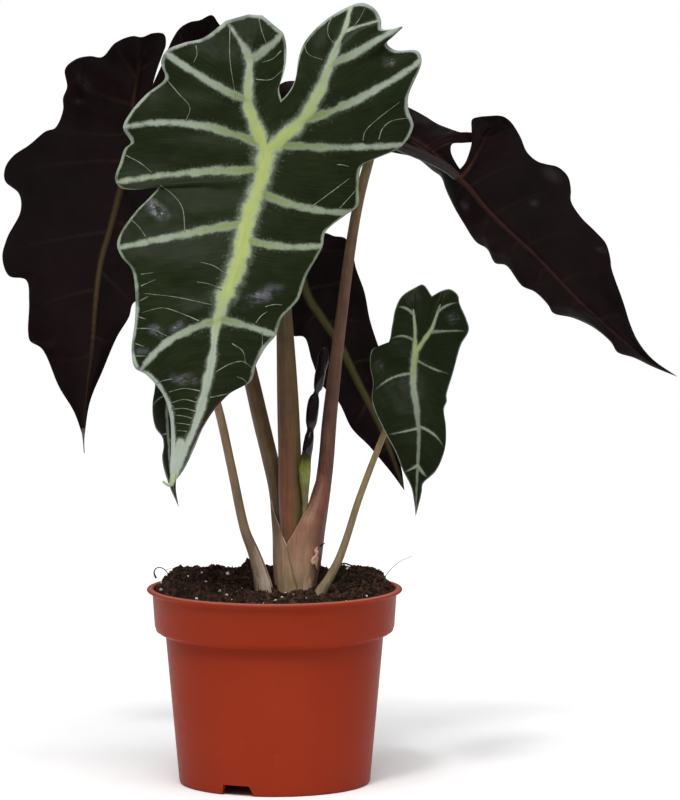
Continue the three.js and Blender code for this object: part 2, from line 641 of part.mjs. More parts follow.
// A round stem swept along its stops, a little wider where "extra" is given.
function stem(stops, { sides = 8, steps = 18, extra = 0, from = 0, to = 1 } = {}) {
  const path = new THREE.CatmullRomCurve3(stops.map(([x, y, depth]) => seen([x, y], depth)));
  const girth = new THREE.CatmullRomCurve3(stops.map(([, , , radius], i) => new THREE.Vector3(i, radius, 0)));
  const position = [];
  const index = [];
  let across = new THREE.Vector3(1, 0, 0);
  for (let i = 0; i <= steps; i += 1) {
    const part = from + ((to - from) * i) / steps;
    const centre = path.getPoint(part);
    const tangent = path.getTangent(part);
    across = across.addScaledVector(tangent, -across.dot(tangent)).normalize();
    const over = new THREE.Vector3().crossVectors(tangent, across);
    const radius = girth.getPoint(part).y + extra;
    for (let k = 0; k < sides; k += 1) {
      const angle = (2 * Math.PI * k) / sides;
      const point = centre.clone()
        .addScaledVector(across, radius * Math.cos(angle))
        .addScaledVector(over, radius * Math.sin(angle));
      position.push(...point.toArray());
    }
  }
  for (let i = 0; i < steps; i += 1) {
    for (let k = 0; k < sides; k += 1) {
      const a = i * sides + k;
      const b = i * sides + ((k + 1) % sides);
      index.push(a, b, b + sides, a, b + sides, a + sides);
    }
  }
  const cap = (ring, outward) => {
    const centre = position.length / 3;
    const along = from + ((to - from) * ring) / steps;
    position.push(...path.getPoint(along).toArray());
    for (let k = 0; k < sides; k += 1) {
      const a = ring * sides + k;
      const b = ring * sides + ((k + 1) % sides);
      index.push(centre, outward ? a : b, outward ? b : a);
    }
  };
  cap(0, false);
  cap(steps, true);
  const geometry = new THREE.BufferGeometry();
  geometry.setAttribute('position', new THREE.Float32BufferAttribute(position, 3));
  geometry.setIndex(index);
  return geometry;
}

// ---------------------------------------------------------------- joining and cutting

function solid(geometry) {
  const bare = geometry.clone();
  bare.deleteAttribute('normal');
  bare.deleteAttribute('uv');
  const merged = mergeVertices(bare, 1e-4);
  return new wasm.Manifold(new wasm.Mesh({
    numProp: 3,
    vertProperties: new Float32Array(merged.attributes.position.array),
    triVerts: new Uint32Array(merged.index.array),
  }));
}

function geometryOf(manifold) {
  const mesh = manifold.getMesh();
  const geometry = new THREE.BufferGeometry();
  geometry.setAttribute('position', new THREE.BufferAttribute(new Float32Array(mesh.vertProperties), 3));
  geometry.setIndex(new THREE.BufferAttribute(new Uint32Array(mesh.triVerts), 1));
  return geometry;
}

// ---------------------------------------------------------------- the pot

function wallRadius(height) {
  const foot = 1.5;
  const part = (height - foot) / (POT.collarFoot - foot);
  return POT.baseRadius + (POT.wallTopRadius - POT.baseRadius) * part;
}

// A lathe profile turned about the vertical axis.
function turned(profile, sides) {
  const points = profile.map(([radius, height]) => new THREE.Vector2(radius, height));
  const geometry = new THREE.LatheGeometry(points, sides);
  geometry.rotateX(Math.PI / 2);
  return geometry;
}

function potProfile() {
  const { rimRadius: rim, height, lipHeight, collarTopRadius, collarFootRadius, collarFoot } = POT;
  const { baseRadius, wall, floorTop, channelHeight, padRadius, footWidth } = POT;
  const inside = (z) => wallRadius(z) - wall;
  return [
    [0, 0], [padRadius, 0], [padRadius + 1.5, channelHeight],
    [baseRadius - footWidth - 1.5, channelHeight], [baseRadius - footWidth - 0.6, 0.3],
    [baseRadius - footWidth, 0], [baseRadius - 1, 0], [baseRadius - 0.3, 0.4], [baseRadius, 1.5],
    [wallRadius(36), 36], [wallRadius(collarFoot - 2.5), collarFoot - 2.5],
    [wallRadius(collarFoot) + 2.4, collarFoot - 1.2], [collarFootRadius - 0.7, collarFoot],
    [collarFootRadius, collarFoot + 2.2], [collarTopRadius, height - lipHeight],
    [rim - 0.4, height - lipHeight + 0.3], [rim, height - 1.2], [rim - 0.4, height - 0.3],
    [rim - 1.2, height], [collarTopRadius - wall, height - 0.5],
    [collarTopRadius - wall - 0.3, height - lipHeight], [collarFootRadius - wall, collarFoot + 2],
    [inside(collarFoot), collarFoot - 0.5], [inside(collarFoot - 3), collarFoot - 3],
    [inside(floorTop + 1.5), floorTop + 1.5], [inside(floorTop) - 1.5, floorTop],
    [padRadius, floorTop], [padRadius - 1.5, wall], [0, wall],
  ];
}

function notchCutter(angle) {
  const { widthBelow, widthAbove, height } = NOTCH;
  const outline = new THREE.Shape([
    new THREE.Vector2(-widthBelow / 2, -1),
    new THREE.Vector2(widthBelow / 2, -1),
    new THREE.Vector2(widthAbove / 2 - 1.5, height),
    new THREE.Vector2(-widthAbove / 2, height),
  ]);
  const geometry = new THREE.ExtrudeGeometry(outline, { depth: 12, bevelEnabled: false });
  geometry.rotateX(Math.PI / 2);
  geometry.rotateZ(Math.PI);
  geometry.translate(0, POT.baseRadius - 8, 0);
  geometry.rotateZ(THREE.MathUtils.degToRad(angle - 90));
  return geometry;
}

function potGeometry() {
  let pot = solid(turned(potProfile(), POT.sides));
  for (let i = 0; i < NOTCH.count; i += 1) {
    pot = pot.subtract(solid(notchCutter(NOTCH.firstAngle + (360 / NOTCH.count) * i)));
  }
  for (let i = 0; i < DRAIN.count; i += 1) {
    const hole = new THREE.CylinderGeometry(DRAIN.radius, DRAIN.radius, 20, DRAIN.sides);
    hole.rotateX(Math.PI / 2);
    const angle = (2 * Math.PI * i) / DRAIN.count;
    hole.translate(DRAIN.ringRadius * Math.cos(angle), DRAIN.ringRadius * Math.sin(angle), POT.floorTop);
    pot = pot.subtract(solid(hole));
  }
  return geometryOf(pot);
}

// ---------------------------------------------------------------- crown and soil

// The crown is a short rootstock of sheathing leaf bases, each a tapered tube round its stalk.
const SHEATHS = [
  [[291, 640, 3, 5], [289, 612, 3, 6.2], [288, 590, 3, 6.1], [286.5, 570, 3.5, 5.9],
    [285, 555, 4, 5.7], [283, 538, 4.6, 5.3], [281, 523, 5.2, 4.7]],
  [[302, 640, 0, 5], [302.5, 612, -1, 6], [304, 590, -2, 5.9], [307, 575, -2.5, 5.8],
    [309.5, 560, -2.5, 5.7], [313, 545, -2, 5.3], [316, 532, -1.4, 4.9]],
  [[296, 640, 1, 5], [296, 612, 0, 6.5], [295.5, 590, -1, 6.6], [294.5, 570, -2, 6.5],
    [293.5, 555, -2.7, 6.3], [292.5, 538, -3, 6]],
  [[296, 640, 3, 4], [296, 600, 6, 5.6], [296, 570, 8, 5.2], [295.5, 550, 10, 4.6],
    [294.4, 533, 11.9, 4]],
  [[302, 620, -2, 5], [302.5, 590, -4, 5.4], [303, 560, -7, 4.4], [303, 535, -9, 3.6],
    [303.3, 513, -9.5, 3.2]],
];

function sheathCluster(extra) {
  const tubes = SHEATHS.map((stops) => solid(stem(stops, { extra, sides: 12, steps: 4 })));
  return tubes.reduce((cluster, tube) => cluster.add(tube));
}

function socket(stops) {
  return solid(stem(stops, { extra: JOIN_GAP }));
}

function crownGeometry() {
  const bedded = [STALKS.stalk_front, STALKS.stalk_left, STALKS.stalk_right, STALKS.stalk_rear,
    YOUNG_LEAF];
  const crown = bedded.reduce((body, stops) => body.subtract(socket(stops)), sheathCluster(0));
  return geometryOf(crown);
}

// Height of the soil at a point: a low mound, higher behind the plant, with small lumps.
function soilHeight(x, y, edge) {
  const out = Math.hypot(x, y) / edge;
  const mound = SOIL.mound * (1 - out ** 2.2) + SOIL.backRise * smooth(-0.2, 0.75, y / edge) * (1 - out ** 6);
  const lumps = Math.sin(x / 5.1 + 1.3) * Math.cos(y / 4.3 - 0.4) + 0.6 * Math.sin(x / 2.9 - y / 3.4);
  return SOIL.edgeHeight + mound + SOIL.lumps * lumps * (1 - smooth(0.85, 1, out));
}

function soilGeometry() {
  const gap = SOIL.clearance;
  const inside = (z) => wallRadius(z) - POT.wall - gap;
  const topRadius = POT.collarFootRadius - POT.wall - gap + 1;
  const profile = [
    [0, POT.wall + gap], [POT.padRadius - 1.7, POT.wall + gap], [POT.padRadius - 0.2, POT.floorTop + gap],
    [inside(POT.floorTop) - 1.8, POT.floorTop + gap], [inside(POT.floorTop + 1.5), POT.floorTop + 2],
    [inside(POT.collarFoot - 3), POT.collarFoot - 3], [inside(POT.collarFoot) - 0.2, POT.collarFoot],
    [POT.collarFootRadius - POT.wall - gap - 0.3, POT.collarFoot + 2.6],
    [topRadius, SOIL.edgeHeight],
  ];
  for (let i = SOIL.rings; i >= 0; i -= 1) {
    profile.push([(topRadius * i) / (SOIL.rings + 1), SOIL.edgeHeight + 1]);
  }
  const geometry = turned(profile, SOIL.sides);
  geometry.deleteAttribute('normal');
  geometry.deleteAttribute('uv');
  const merged = mergeVertices(geometry, 1e-3);
  const place = merged.attributes.position;
  for (let i = 0; i < place.count; i += 1) {
    if (place.getZ(i) < SOIL.edgeHeight + 0.5) continue;
    place.setZ(i, soilHeight(place.getX(i), place.getY(i), topRadius));
  }
  const soil = solid(merged)
    .subtract(socket(STALKS.stalk_small_left))
    .subtract(socket(STALKS.stalk_small_right))
    .subtract(sheathCluster(JOIN_GAP));
  return geometryOf(soil);
}

// ---------------------------------------------------------------- finishes

const FINISH = {
  terracottaPlastic: { color: '#9c3a26', roughness: 0.42 },
  pottingSoil: { color: '#2a1c16', roughness: 0.95 },
  leafUpper: { color: '#222c1e', roughness: 0.3 },
  leafUnder: { color: '#231618', roughness: 0.4 },
  leafStalk: { color: '#6a4a38', roughness: 0.5 },
  paleStalk: { color: '#8d7354', roughness: 0.5 },
  crownSheath: { color: '#84705b', roughness: 0.6 },
  youngLeaf: { color: '#2c1a22', roughness: 0.3 },
};

const plant = new THREE.Group();

function add(name, geometry, finish) {
  const material = new THREE.MeshStandardMaterial({ ...FINISH[finish], metalness: 0 });
  const mesh = new THREE.Mesh(geometry, material);
  mesh.name = name;
  plant.add(mesh);
}

add('pot', potGeometry(), 'terracottaPlastic');
add('soil', soilGeometry(), 'pottingSoil');
add('crown', crownGeometry(), 'crownSheath');
add('young_leaf', stem(YOUNG_LEAF, { steps: 22 }), 'youngLeaf');
for (const [name, stops] of Object.entries(STALKS)) {
  add(name, stem(stops), name.includes('small') ? 'paleStalk' : 'leafStalk');
}
for (const [name, blade] of Object.entries(BLADES)) {
  const size = name.includes('small') || name.includes('rear') ? 'small' : 'large';
  add(name, bladeGeometry(name, size), blade.upperFaceToViewer ? 'leafUpper' : 'leafUnder');
}

export default plant;
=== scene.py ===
"""A small potted alocasia in a round terracotta-coloured nursery pot.

The leaf blades and stalks repeat the named values of the part's source and are cut finer here.
Everything is worked out in millimetres, +Z up, +X to the viewer's right and +Y away from the
viewer, with the origin in the middle of the pot's resting face, and made in metres.
"""

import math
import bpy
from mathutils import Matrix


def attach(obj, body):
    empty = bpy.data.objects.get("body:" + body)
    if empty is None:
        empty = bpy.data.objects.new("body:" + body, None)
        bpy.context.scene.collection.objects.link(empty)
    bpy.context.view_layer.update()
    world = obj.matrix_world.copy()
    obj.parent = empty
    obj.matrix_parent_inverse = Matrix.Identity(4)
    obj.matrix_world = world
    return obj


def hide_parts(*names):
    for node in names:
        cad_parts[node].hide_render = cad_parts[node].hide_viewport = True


bl_info = {
    "name": "Potted alocasia",
    "version": (1, 0, 0),
    "blender": (4, 5, 0),
    "location": "View3D > Sidebar > Alocasia",
    "description": "Makes the leaves, stalks, crown, soil and pot of a potted alocasia",
    "category": "Object",
}

from functools import partial

import bmesh
import bpy
import numpy as np
from mathutils import Matrix, Vector, noise
from mathutils.bvhtree import BVHTree

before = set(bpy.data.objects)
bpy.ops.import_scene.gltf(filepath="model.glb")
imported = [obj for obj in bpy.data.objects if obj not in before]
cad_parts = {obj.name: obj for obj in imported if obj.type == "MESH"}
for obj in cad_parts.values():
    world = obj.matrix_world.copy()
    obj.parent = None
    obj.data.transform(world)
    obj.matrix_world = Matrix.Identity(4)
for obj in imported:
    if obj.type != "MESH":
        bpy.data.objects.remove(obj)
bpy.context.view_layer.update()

MM = 0.001


# ------------------------------------------------------------------ the line of sight

SIGHT_DISTANCE = 2600
SIGHT_HEIGHT = 445.8
SIGHT_PITCH = math.radians(5.83)
FOCAL_PIXELS = 5585.8
PICTURE_HEIGHT = 800
MIDDLE_PIXEL = (340, 400)
POT_AXIS_PIXEL = 274
MM_PER_PIXEL = SIGHT_DISTANCE / FOCAL_PIXELS
EYE = np.array([(MIDDLE_PIXEL[0] - POT_AXIS_PIXEL) * MM_PER_PIXEL, -SIGHT_DISTANCE, SIGHT_HEIGHT])


def seen(pixels, depth):
    """Places in mm on the lines of sight through pixels of the 680 x 800 picture."""
    pixels = np.asarray(pixels, float)
    sideways = (pixels[..., 0] - MIDDLE_PIXEL[0]) / FOCAL_PIXELS
    upward = (MIDDLE_PIXEL[1] - pixels[..., 1]) / FOCAL_PIXELS
    ray = np.stack([
        sideways,
        math.cos(SIGHT_PITCH) + upward * math.sin(SIGHT_PITCH),
        upward * math.cos(SIGHT_PITCH) - math.sin(SIGHT_PITCH),
    ], -1)
    return EYE + ray * ((np.asarray(depth, float) + SIGHT_DISTANCE) / ray[..., 1])[..., None]


# ------------------------------------------------------------------ read values

# Sizes in mm and degrees, as in the part's source. HEAPED is what the compost rises by here alone,
# STREWN_RADIUS is how far out crumbs are strewn, and CRUMB_SEED fixes the shapes of the crumbs.
POT = {
    "rim_radius": 60, "height": 92, "lip_height": 2.4, "collar_top_radius": 58,
    "collar_foot_radius": 56.3, "collar_foot": 72, "wall_top_radius": 51.4, "base_radius": 45,
    "wall": 1.4, "floor_top": 7.6, "channel_height": 6, "pad_radius": 14, "foot_width": 1.8,
}
NOTCH = {"count": 3, "first_angle": -112, "width_below": 17, "width_above": 14.5, "height": 4.8}
DRAIN = {"count": 6, "radius": 4, "ring_radius": 28}
SOIL = {"clearance": 0.3, "edge_height": 86.5, "mound": 5.5, "back_rise": 4, "lumps": 1.5}
HEAPED = {"edge": 4.2, "sides": 5.5, "back": 1.6, "clods": 2.6}
STREWN_RADIUS = 55.3
CRUMB_SEED = 1

# The blades, as in the part's source. Places are pixels of the picture, and depths and rises are mm.
# A vein is its foot, its middle and its end at the margin, and how strongly it is drawn.
BLADES = {
    "blade_front": {
        "upperFaceToViewer": True, "stalk": [265, 150], "notch": [281.5, 100], "tip": [171, 486],
        "lie": {"depth": -22, "lean": -0.3, "lobeLean": 0.16, "arch": -9, "quilt": 2.4, "wave": 1.6},
        "midrib": [[262, 175], [255, 197], [247.5, 220], [241, 250], [232.5, 277], [222.5, 305], [216, 325],
            [213, 350], [209, 375], [203, 400], [195, 425], [185, 450]],
        "left": {
            "edge": [[279, 88], [283, 76], [286, 62], [286, 43], [282, 30], [276, 18], [256, 15], [233, 15],
                [223, 23], [203, 38], [183, 43], [166, 51], [161, 63], [165, 78], [146, 94.5], [130, 113],
                [123, 128], [131, 143], [125, 148], [120, 162.5], [115, 179], [120, 187.5], [131, 189.5],
                [142, 189], [151, 188], [158, 187], [149, 198], [136, 211], [121, 232], [117, 245],
                [121.5, 257], [131.5, 269], [135, 288.5], [135, 318], [131.5, 351.5], [135, 368],
                [146.5, 375], [163, 395], [170, 418], [171, 448], [170, 470]],
            "lobeVein": [[255, 125], [248, 102], [249, 80], [250, 60]], "lobeTip": [256, 15],
            "inner": [[[250, 60], [267, 49], [281, 33], 0.85]],
            "outer": [[[250, 60], [242, 42], [231, 22]], [[247, 100], [207, 80], [165, 53]], [[259, 148],
                [190, 124], [124, 127]], [[257, 169], [200, 172], [117, 182]], [[254, 193], [205, 187],
                [158, 187], 0], [[248, 222], [185, 234], [118, 248]], [[228, 290], [185, 294],
                [135, 292], 0], [[216, 320], [175, 337], [140, 371]], [[206, 388], [190, 390],
                [165, 398], 0]],
            "turn": 0.1, "curl": 5,
        },
        "right": {
            "edge": [[288, 93], [295, 80], [299, 56], [306, 40], [325.5, 20], [345.5, 8], [362, 2.7],
                [375, 9], [381, 20], [382, 29], [392, 29], [403, 26.5], [395, 35], [387, 43], [395, 50],
                [418, 51], [421.7, 61], [408.5, 96], [408.5, 109.5], [413.4, 126], [402, 146], [375, 159],
                [362, 166], [358.7, 186], [358, 205.6], [345, 215.6], [325.5, 232], [323, 245], [319, 254],
                [307, 275], [299, 298.5], [294, 305], [282, 318], [276, 335], [266, 347], [256, 365],
                [251, 381], [233, 391], [216, 408], [203, 428], [194.5, 448], [183, 471]],
            "lobeVein": [[287, 135], [300, 122], [312, 105], [322, 85], [330, 65], [338, 43]],
            "lobeTip": [360, 3],
            "inner": [[[315, 99], [306, 80], [299, 56], 0], [[330, 65], [326, 44], [328, 19], 0]],
            "outer": [[[336, 49], [358, 29], [381, 20], 0.12], [[332, 66], [362, 49], [398, 29]],
                [[300, 122], [362, 97], [421, 60]], [[277, 148], [325, 147], [403, 144]], [[258, 190],
                [305, 208], [350, 212]], [[244, 240], [278, 246], [323, 246]], [[232, 276], [262, 285],
                [303, 288], 0], [[218, 318], [250, 327], [277, 336]], [[206, 388], [228, 388],
                [251, 381], 0]],
            "turn": 0.1, "curl": 6,
        },
    },
    "blade_left": {
        "upperFaceToViewer": False, "stalk": [140, 130], "notch": [153, 84], "tip": [84, 440],
        "lie": {"depth": 32, "lean": 0.32, "lobeLean": -0.1, "arch": 8, "quilt": 2.2, "wave": 2},
        "midrib": [[130, 158], [120, 192], [110, 230], [101, 262], [96, 300], [92, 350], [87, 395]],
        "left": {
            "edge": [[157, 70], [162, 56], [166, 44], [164, 34], [153, 33], [142, 37], [132, 36], [115, 43],
                [102, 57], [90, 56], [76, 59], [65, 69], [67, 87], [63, 98], [63, 110], [55, 128],
                [46, 131], [29, 145], [13, 156], [5, 168], [5, 181], [19, 194], [20.5, 211], [7, 238],
                [2.3, 258], [9, 276], [26, 280], [29, 302], [28, 331.5], [30, 341], [42, 349], [59, 387],
                [74, 412]],
            "lobeVein": [[134, 110], [136, 88], [141, 62]], "lobeTip": [148, 34],
            "inner": [[[138, 72], [150, 64], [163, 50]]],
            "outer": [[[137, 80], [126, 60], [115, 43]], [[134, 104], [100, 94], [66, 72]], [[138, 132],
                [95, 134], [57, 127]], [[128, 162], [60, 164], [4, 175]], [[110, 230], [55, 240], [3, 252]],
                [[97, 290], [60, 298], [29, 312]], [[91, 355], [68, 360], [46, 357]]],
            "turn": 0.06, "curl": -6,
        },
        "right": {
            "edge": [[162, 64], [172, 40], [180, 28], [190, 22], [200, 20], [212, 15], [219, 24], [238, 45],
                [244, 75], [240, 110], [232, 150], [225, 190], [205, 225], [190, 255], [170, 280],
                [150, 296], [133.5, 303], [129, 317], [117, 337], [103, 370], [90, 402]],
            "lobeVein": [[158, 112], [184, 82], [200, 55]], "lobeTip": [210, 16],
            "inner": [[[190, 72], [184, 50], [181, 29]]],
            "outer": [[[196, 62], [218, 50], [236, 42]], [[170, 98], [205, 104], [240, 112]], [[139, 134],
                [185, 140], [231, 152]], [[128, 162], [178, 178], [223, 193]], [[113, 220], [155, 238],
                [190, 255]], [[99, 270], [117, 287], [134, 303]], [[93, 335], [103, 340], [115, 341]]],
            "turn": 0.06, "curl": -4,
        },
    },
    "blade_right": {
        "upperFaceToViewer": False, "stalk": [460, 179], "notch": [460, 169], "tip": [678, 377],
        "lie": {"depth": 34, "lean": 0.3, "lobeLean": -0.06, "arch": 7, "quilt": 2.2, "wave": 2},
        "midrib": [[470, 189], [485, 207], [508, 230], [533, 253], [557, 278], [581, 303], [612, 331],
            [632, 348], [650, 362]],
        "left": {
            "edge": [[456, 163], [451, 152], [452, 144], [463, 143], [474, 141], [473, 133], [462, 132.5],
                [448, 128], [437, 123.5], [425, 116], [410, 108], [390, 99], [362, 94], [328, 84],
                [300, 81], [284, 82], [275, 90], [281, 102], [300, 114], [330, 126], [362, 138], [382, 150],
                [395, 153], [416, 158], [433, 171], [441, 177], [446, 190], [454, 207], [464, 224],
                [476, 242], [487, 249], [495, 263], [506, 265.5], [522, 286], [535, 292], [548, 305],
                [553, 313], [573, 318], [594, 328], [611.5, 343], [617, 352], [634.5, 358], [652, 366.5]],
            "lobeVein": [[451, 170], [438, 158], [415, 141], [380, 125], [340, 108], [305, 98]],
            "lobeTip": [275, 90],
            "inner": [[[438, 158], [445, 153.5], [451, 149]], [[433, 153.5], [446, 145], [458, 143.3]],
                [[429, 150], [449, 140.5], [474, 141]], [[425, 147.5], [448, 136.5], [473, 135]],
                [[400, 133], [405, 120], [411, 108]], [[345, 110], [345, 99], [345, 88]]],
            "outer": [[[345, 110], [335, 120], [330, 126]], [[400, 133], [390, 143], [384, 151]],
                [[440, 160], [433, 165], [433, 171]], [[464, 183], [457, 195], [453, 206]], [[490, 212],
                [484, 235], [488, 250]], [[518, 239], [510, 255], [507, 266]], [[545, 266], [537, 282],
                [536, 293]], [[578, 300], [570, 309], [573, 318]], [[620, 336], [614, 343], [615, 349]]],
            "turn": 0.3, "curl": 5,
        },
        "right": {
            "edge": [[465, 163], [469, 153], [471.5, 143], [471.5, 130], [472, 119.5], [478, 117],
                [487, 116], [502, 116], [510, 121], [520, 136], [527, 152], [537, 161], [546, 164],
                [558, 167], [568, 176.5], [571, 190], [571, 201], [581, 217], [596, 232], [606, 243.5],
                [610.5, 259], [611.5, 268], [623, 301], [631, 326], [638, 341], [652, 358.5]],
            "lobeVein": [[467, 171], [475, 158], [482, 145], [488, 132]], "lobeTip": [494, 116],
            "inner": [[[475, 158], [473, 151], [471, 143]], [[484, 141], [478, 131], [472, 121]]],
            "outer": [[[484, 140], [500, 133], [516, 130]], [[468, 187], [505, 168], [540, 162]],
                [[492, 214], [535, 195], [571, 186]], [[525, 246], [565, 232], [598, 234]], [[560, 281],
                [590, 272], [613, 273]], [[600, 320], [618, 316], [629, 320]]],
            "turn": -0.12, "curl": -5,
        },
    },
    "blade_rear": {
        "upperFaceToViewer": False, "stalk": [300, 270], "notch": [311, 242], "tip": [404.6, 491],
        "lie": {"depth": 42, "lean": 0.24, "lobeLean": -0.1, "arch": 6, "quilt": 1.6, "wave": 1.2},
        "midrib": [[309, 298], [320, 315], [340, 345], [357, 380], [372.5, 410], [386, 440], [397.5, 470]],
        "left": {
            "edge": [[304, 232], [294, 227], [284, 231], [277, 245], [273, 268], [276, 295], [288, 330],
                [293, 336], [304, 337], [312, 361], [322, 385], [338.5, 402], [351.5, 428], [369, 446],
                [380, 459], [393, 475]],
            "lobeVein": [[296, 256], [290, 245]], "lobeTip": [284, 230],
            "inner": [[[292, 248], [297, 240], [302, 231]]],
            "outer": [[[293, 251], [284, 249], [276, 248]], [[300, 272], [287, 280], [275, 287]],
                [[318, 312], [308, 322], [300, 336]], [[342, 349], [332, 364], [322, 385]], [[368, 401],
                [361, 414], [352, 428]], [[388, 446], [383, 451], [381, 460]]],
            "turn": 0.1, "curl": -4,
        },
        "right": {
            "edge": [[318, 234], [326, 233], [334, 236], [345, 238], [352, 250], [356, 268], [364.5, 292],
                [370, 320], [378, 345], [388, 372], [396, 400], [398, 430], [399, 455], [402.5, 474]],
            "lobeVein": [[313, 258], [324, 248]], "lobeTip": [334, 236],
            "inner": [[[318, 253], [317, 244], [318, 235]]],
            "outer": [[[320, 251], [335, 250], [351, 249]], [[306, 290], [332, 284], [360, 280]],
                [[326, 324], [350, 320], [372, 325]], [[350, 365], [370, 360], [385, 364]], [[370, 405],
                [385, 402], [397, 408]], [[387, 443], [394, 443], [398, 446]]],
            "turn": 0.1, "curl": -4,
        },
    },
    "blade_small_right": {
        "upperFaceToViewer": True, "stalk": [415, 353], "notch": [432, 296], "tip": [415.6, 517],
        "lie": {"depth": -14, "lean": -0.3, "lobeLean": 0.12, "arch": -5, "quilt": 1.6, "wave": 0.8},
        "midrib": [[413.7, 372], [413.7, 390], [416, 405], [418.7, 432], [418, 460], [416.5, 490]],
        "left": {
            "edge": [[423, 284.6], [416, 287], [401.5, 296.5], [395, 310], [392, 326], [388, 343],
                [380, 345.5], [372, 350], [370, 366], [373, 383], [372, 401], [385, 432.5], [395, 451],
                [403, 471], [411, 487], [414, 502]],
            "lobeVein": [[415, 330], [413.5, 310]], "lobeTip": [409, 291],
            "inner": [],
            "outer": [[[414, 314], [405, 308], [396, 307]], [[415, 341], [403, 336], [389, 340]],
                [[413.7, 374], [392, 378], [373, 394]], [[418, 429], [402, 432], [386, 435]], [[417.5, 465],
                [409, 470], [404, 472]]],
            "turn": 0.12, "curl": 2,
        },
        "right": {
            "edge": [[441, 291], [450, 289], [458, 295], [459.5, 303], [466, 318], [469, 330], [461, 345],
                [453, 373], [446.5, 396], [447, 401], [444, 409], [446, 427.5], [445, 449], [436, 471],
                [423, 484], [422, 491], [420, 500.5]],
            "lobeVein": [[424, 340], [431, 330], [436, 317], [440, 305]], "lobeTip": [450, 289],
            "inner": [],
            "outer": [[[438, 311], [448, 305], [459, 303]], [[430, 332], [446, 331], [468, 331]],
                [[414, 358], [434, 369], [453, 374]], [[418, 426], [432, 433], [445, 450]], [[417.5, 465],
                [424, 474], [429, 479]]],
            "turn": 0.12, "curl": 2,
        },
    },
    "blade_small_left": {
        "upperFaceToViewer": True, "stalk": [190, 338], "notch": [190, 314], "tip": [179, 508],
        "lie": {"depth": -28, "lean": -0.14, "lobeLean": 0.1, "arch": -3, "quilt": 1.2, "wave": 0.6},
        "midrib": [[180, 360], [171, 385], [167, 410], [168.5, 440], [170.5, 470], [173.5, 488]],
        "left": {
            "edge": [[184, 305], [176, 304], [166, 312], [158, 330], [154, 355], [155, 385], [152.5, 403.5],
                [153, 418], [156, 429], [162, 437], [163.5, 447], [162, 456], [164, 470], [170, 488]],
            "lobeVein": [[182, 324], [175, 315]], "lobeTip": [170, 306],
            "inner": [],
            "outer": [[[180, 321], [168, 322], [160, 324]], [[184, 351], [168, 356], [154, 362]],
                [[169, 395], [160, 398], [152.5, 408]], [[168, 434], [165, 434], [161, 436]]],
            "turn": 0.9, "curl": 2,
        },
        "right": {
            "edge": [[196, 305], [206, 301], [216, 304], [223, 318], [224, 345], [217, 380], [204, 412],
                [193, 430], [186, 448], [178, 470], [176, 488]],
            "lobeVein": [[198, 324], [207, 314]], "lobeTip": [213, 303],
            "inner": [],
            "outer": [[[204, 317], [213, 318], [223, 320]], [[182, 356], [202, 360], [222, 360]],
                [[169, 395], [188, 402], [206, 408]], [[166, 438], [177, 446], [186, 450]]],
            "turn": 0.35, "curl": 2,
        },
    },
}

# The stalks, from foot to end: each stop is [pixel x, pixel y, depth in mm, radius in mm].
STALKS = {
    "stalk_front": [[292.5, 545, -3, 5.3], [291.5, 520, -3, 5.5], [290.3, 490, -3, 5.5],
        [290, 460, -3, 5.4], [288, 400, -5, 5], [284, 310, -10, 3.7], [279, 230, -13, 3.2],
        [272, 175, -14.6, 3], [266, 152, -18.7, 2.6]],
    "stalk_left": [[283, 545, 4.6, 4], [280.5, 523, 5.2, 3.9], [276.6, 489, 7, 3.8], [270.3, 460, 8.5, 3.8],
        [260.6, 420, 10, 3.8], [249, 370, 12.5, 3.6], [226, 280, 17, 3.3], [192, 195, 22, 2.9],
        [160, 143, 27, 2.5], [142, 130, 29.6, 2]],
    "stalk_right": [[313.5, 548, -2, 4.2], [317.7, 523, -1, 4], [322.7, 489, 2, 3.8],
        [326.3, 460, 4.5, 3.6], [329.5, 420, 7.5, 3.4], [338, 345, 12, 2.8], [355, 220, 17, 2.4],
        [367, 168, 20, 2.3], [374, 148, 22, 2.3], [387, 140, 24, 2.4], [402, 147, 26, 2.5],
        [428, 158, 28.6, 2.4], [446, 167.5, 29.9, 2.2], [457, 176.5, 31.2, 2]],
    "stalk_rear": [[295, 543, 11, 3.2], [289.5, 465, 18, 3], [287, 400, 24, 2.9], [284, 330, 32, 2.7],
        [289, 292, 37.5, 2.4], [298, 272, 40.3, 1.8]],
    "stalk_small_right": [[315, 607, -10, 3.2], [321, 592, -10, 2.9], [327.7, 581, -10, 2.3],
        [334.2, 569, -9.5, 2.05], [339.4, 558, -9, 1.9], [347.6, 535, -8.5, 1.7], [358.6, 500, -8, 1.6],
        [383, 436, -7, 1.45], [400, 395, -9, 1.4], [413, 360, -13.6, 1.3]],
    "stalk_small_left": [[267, 607, -6, 4.1], [264, 588, -6, 4.2], [260, 572, -6.5, 3.6],
        [254, 553, -7, 2.8], [245, 530, -8, 2.3], [232, 470, -10, 2.1], [219, 411, -14, 2],
        [205, 365, -20, 1.8], [192, 340, -25.9, 1.4]],
}

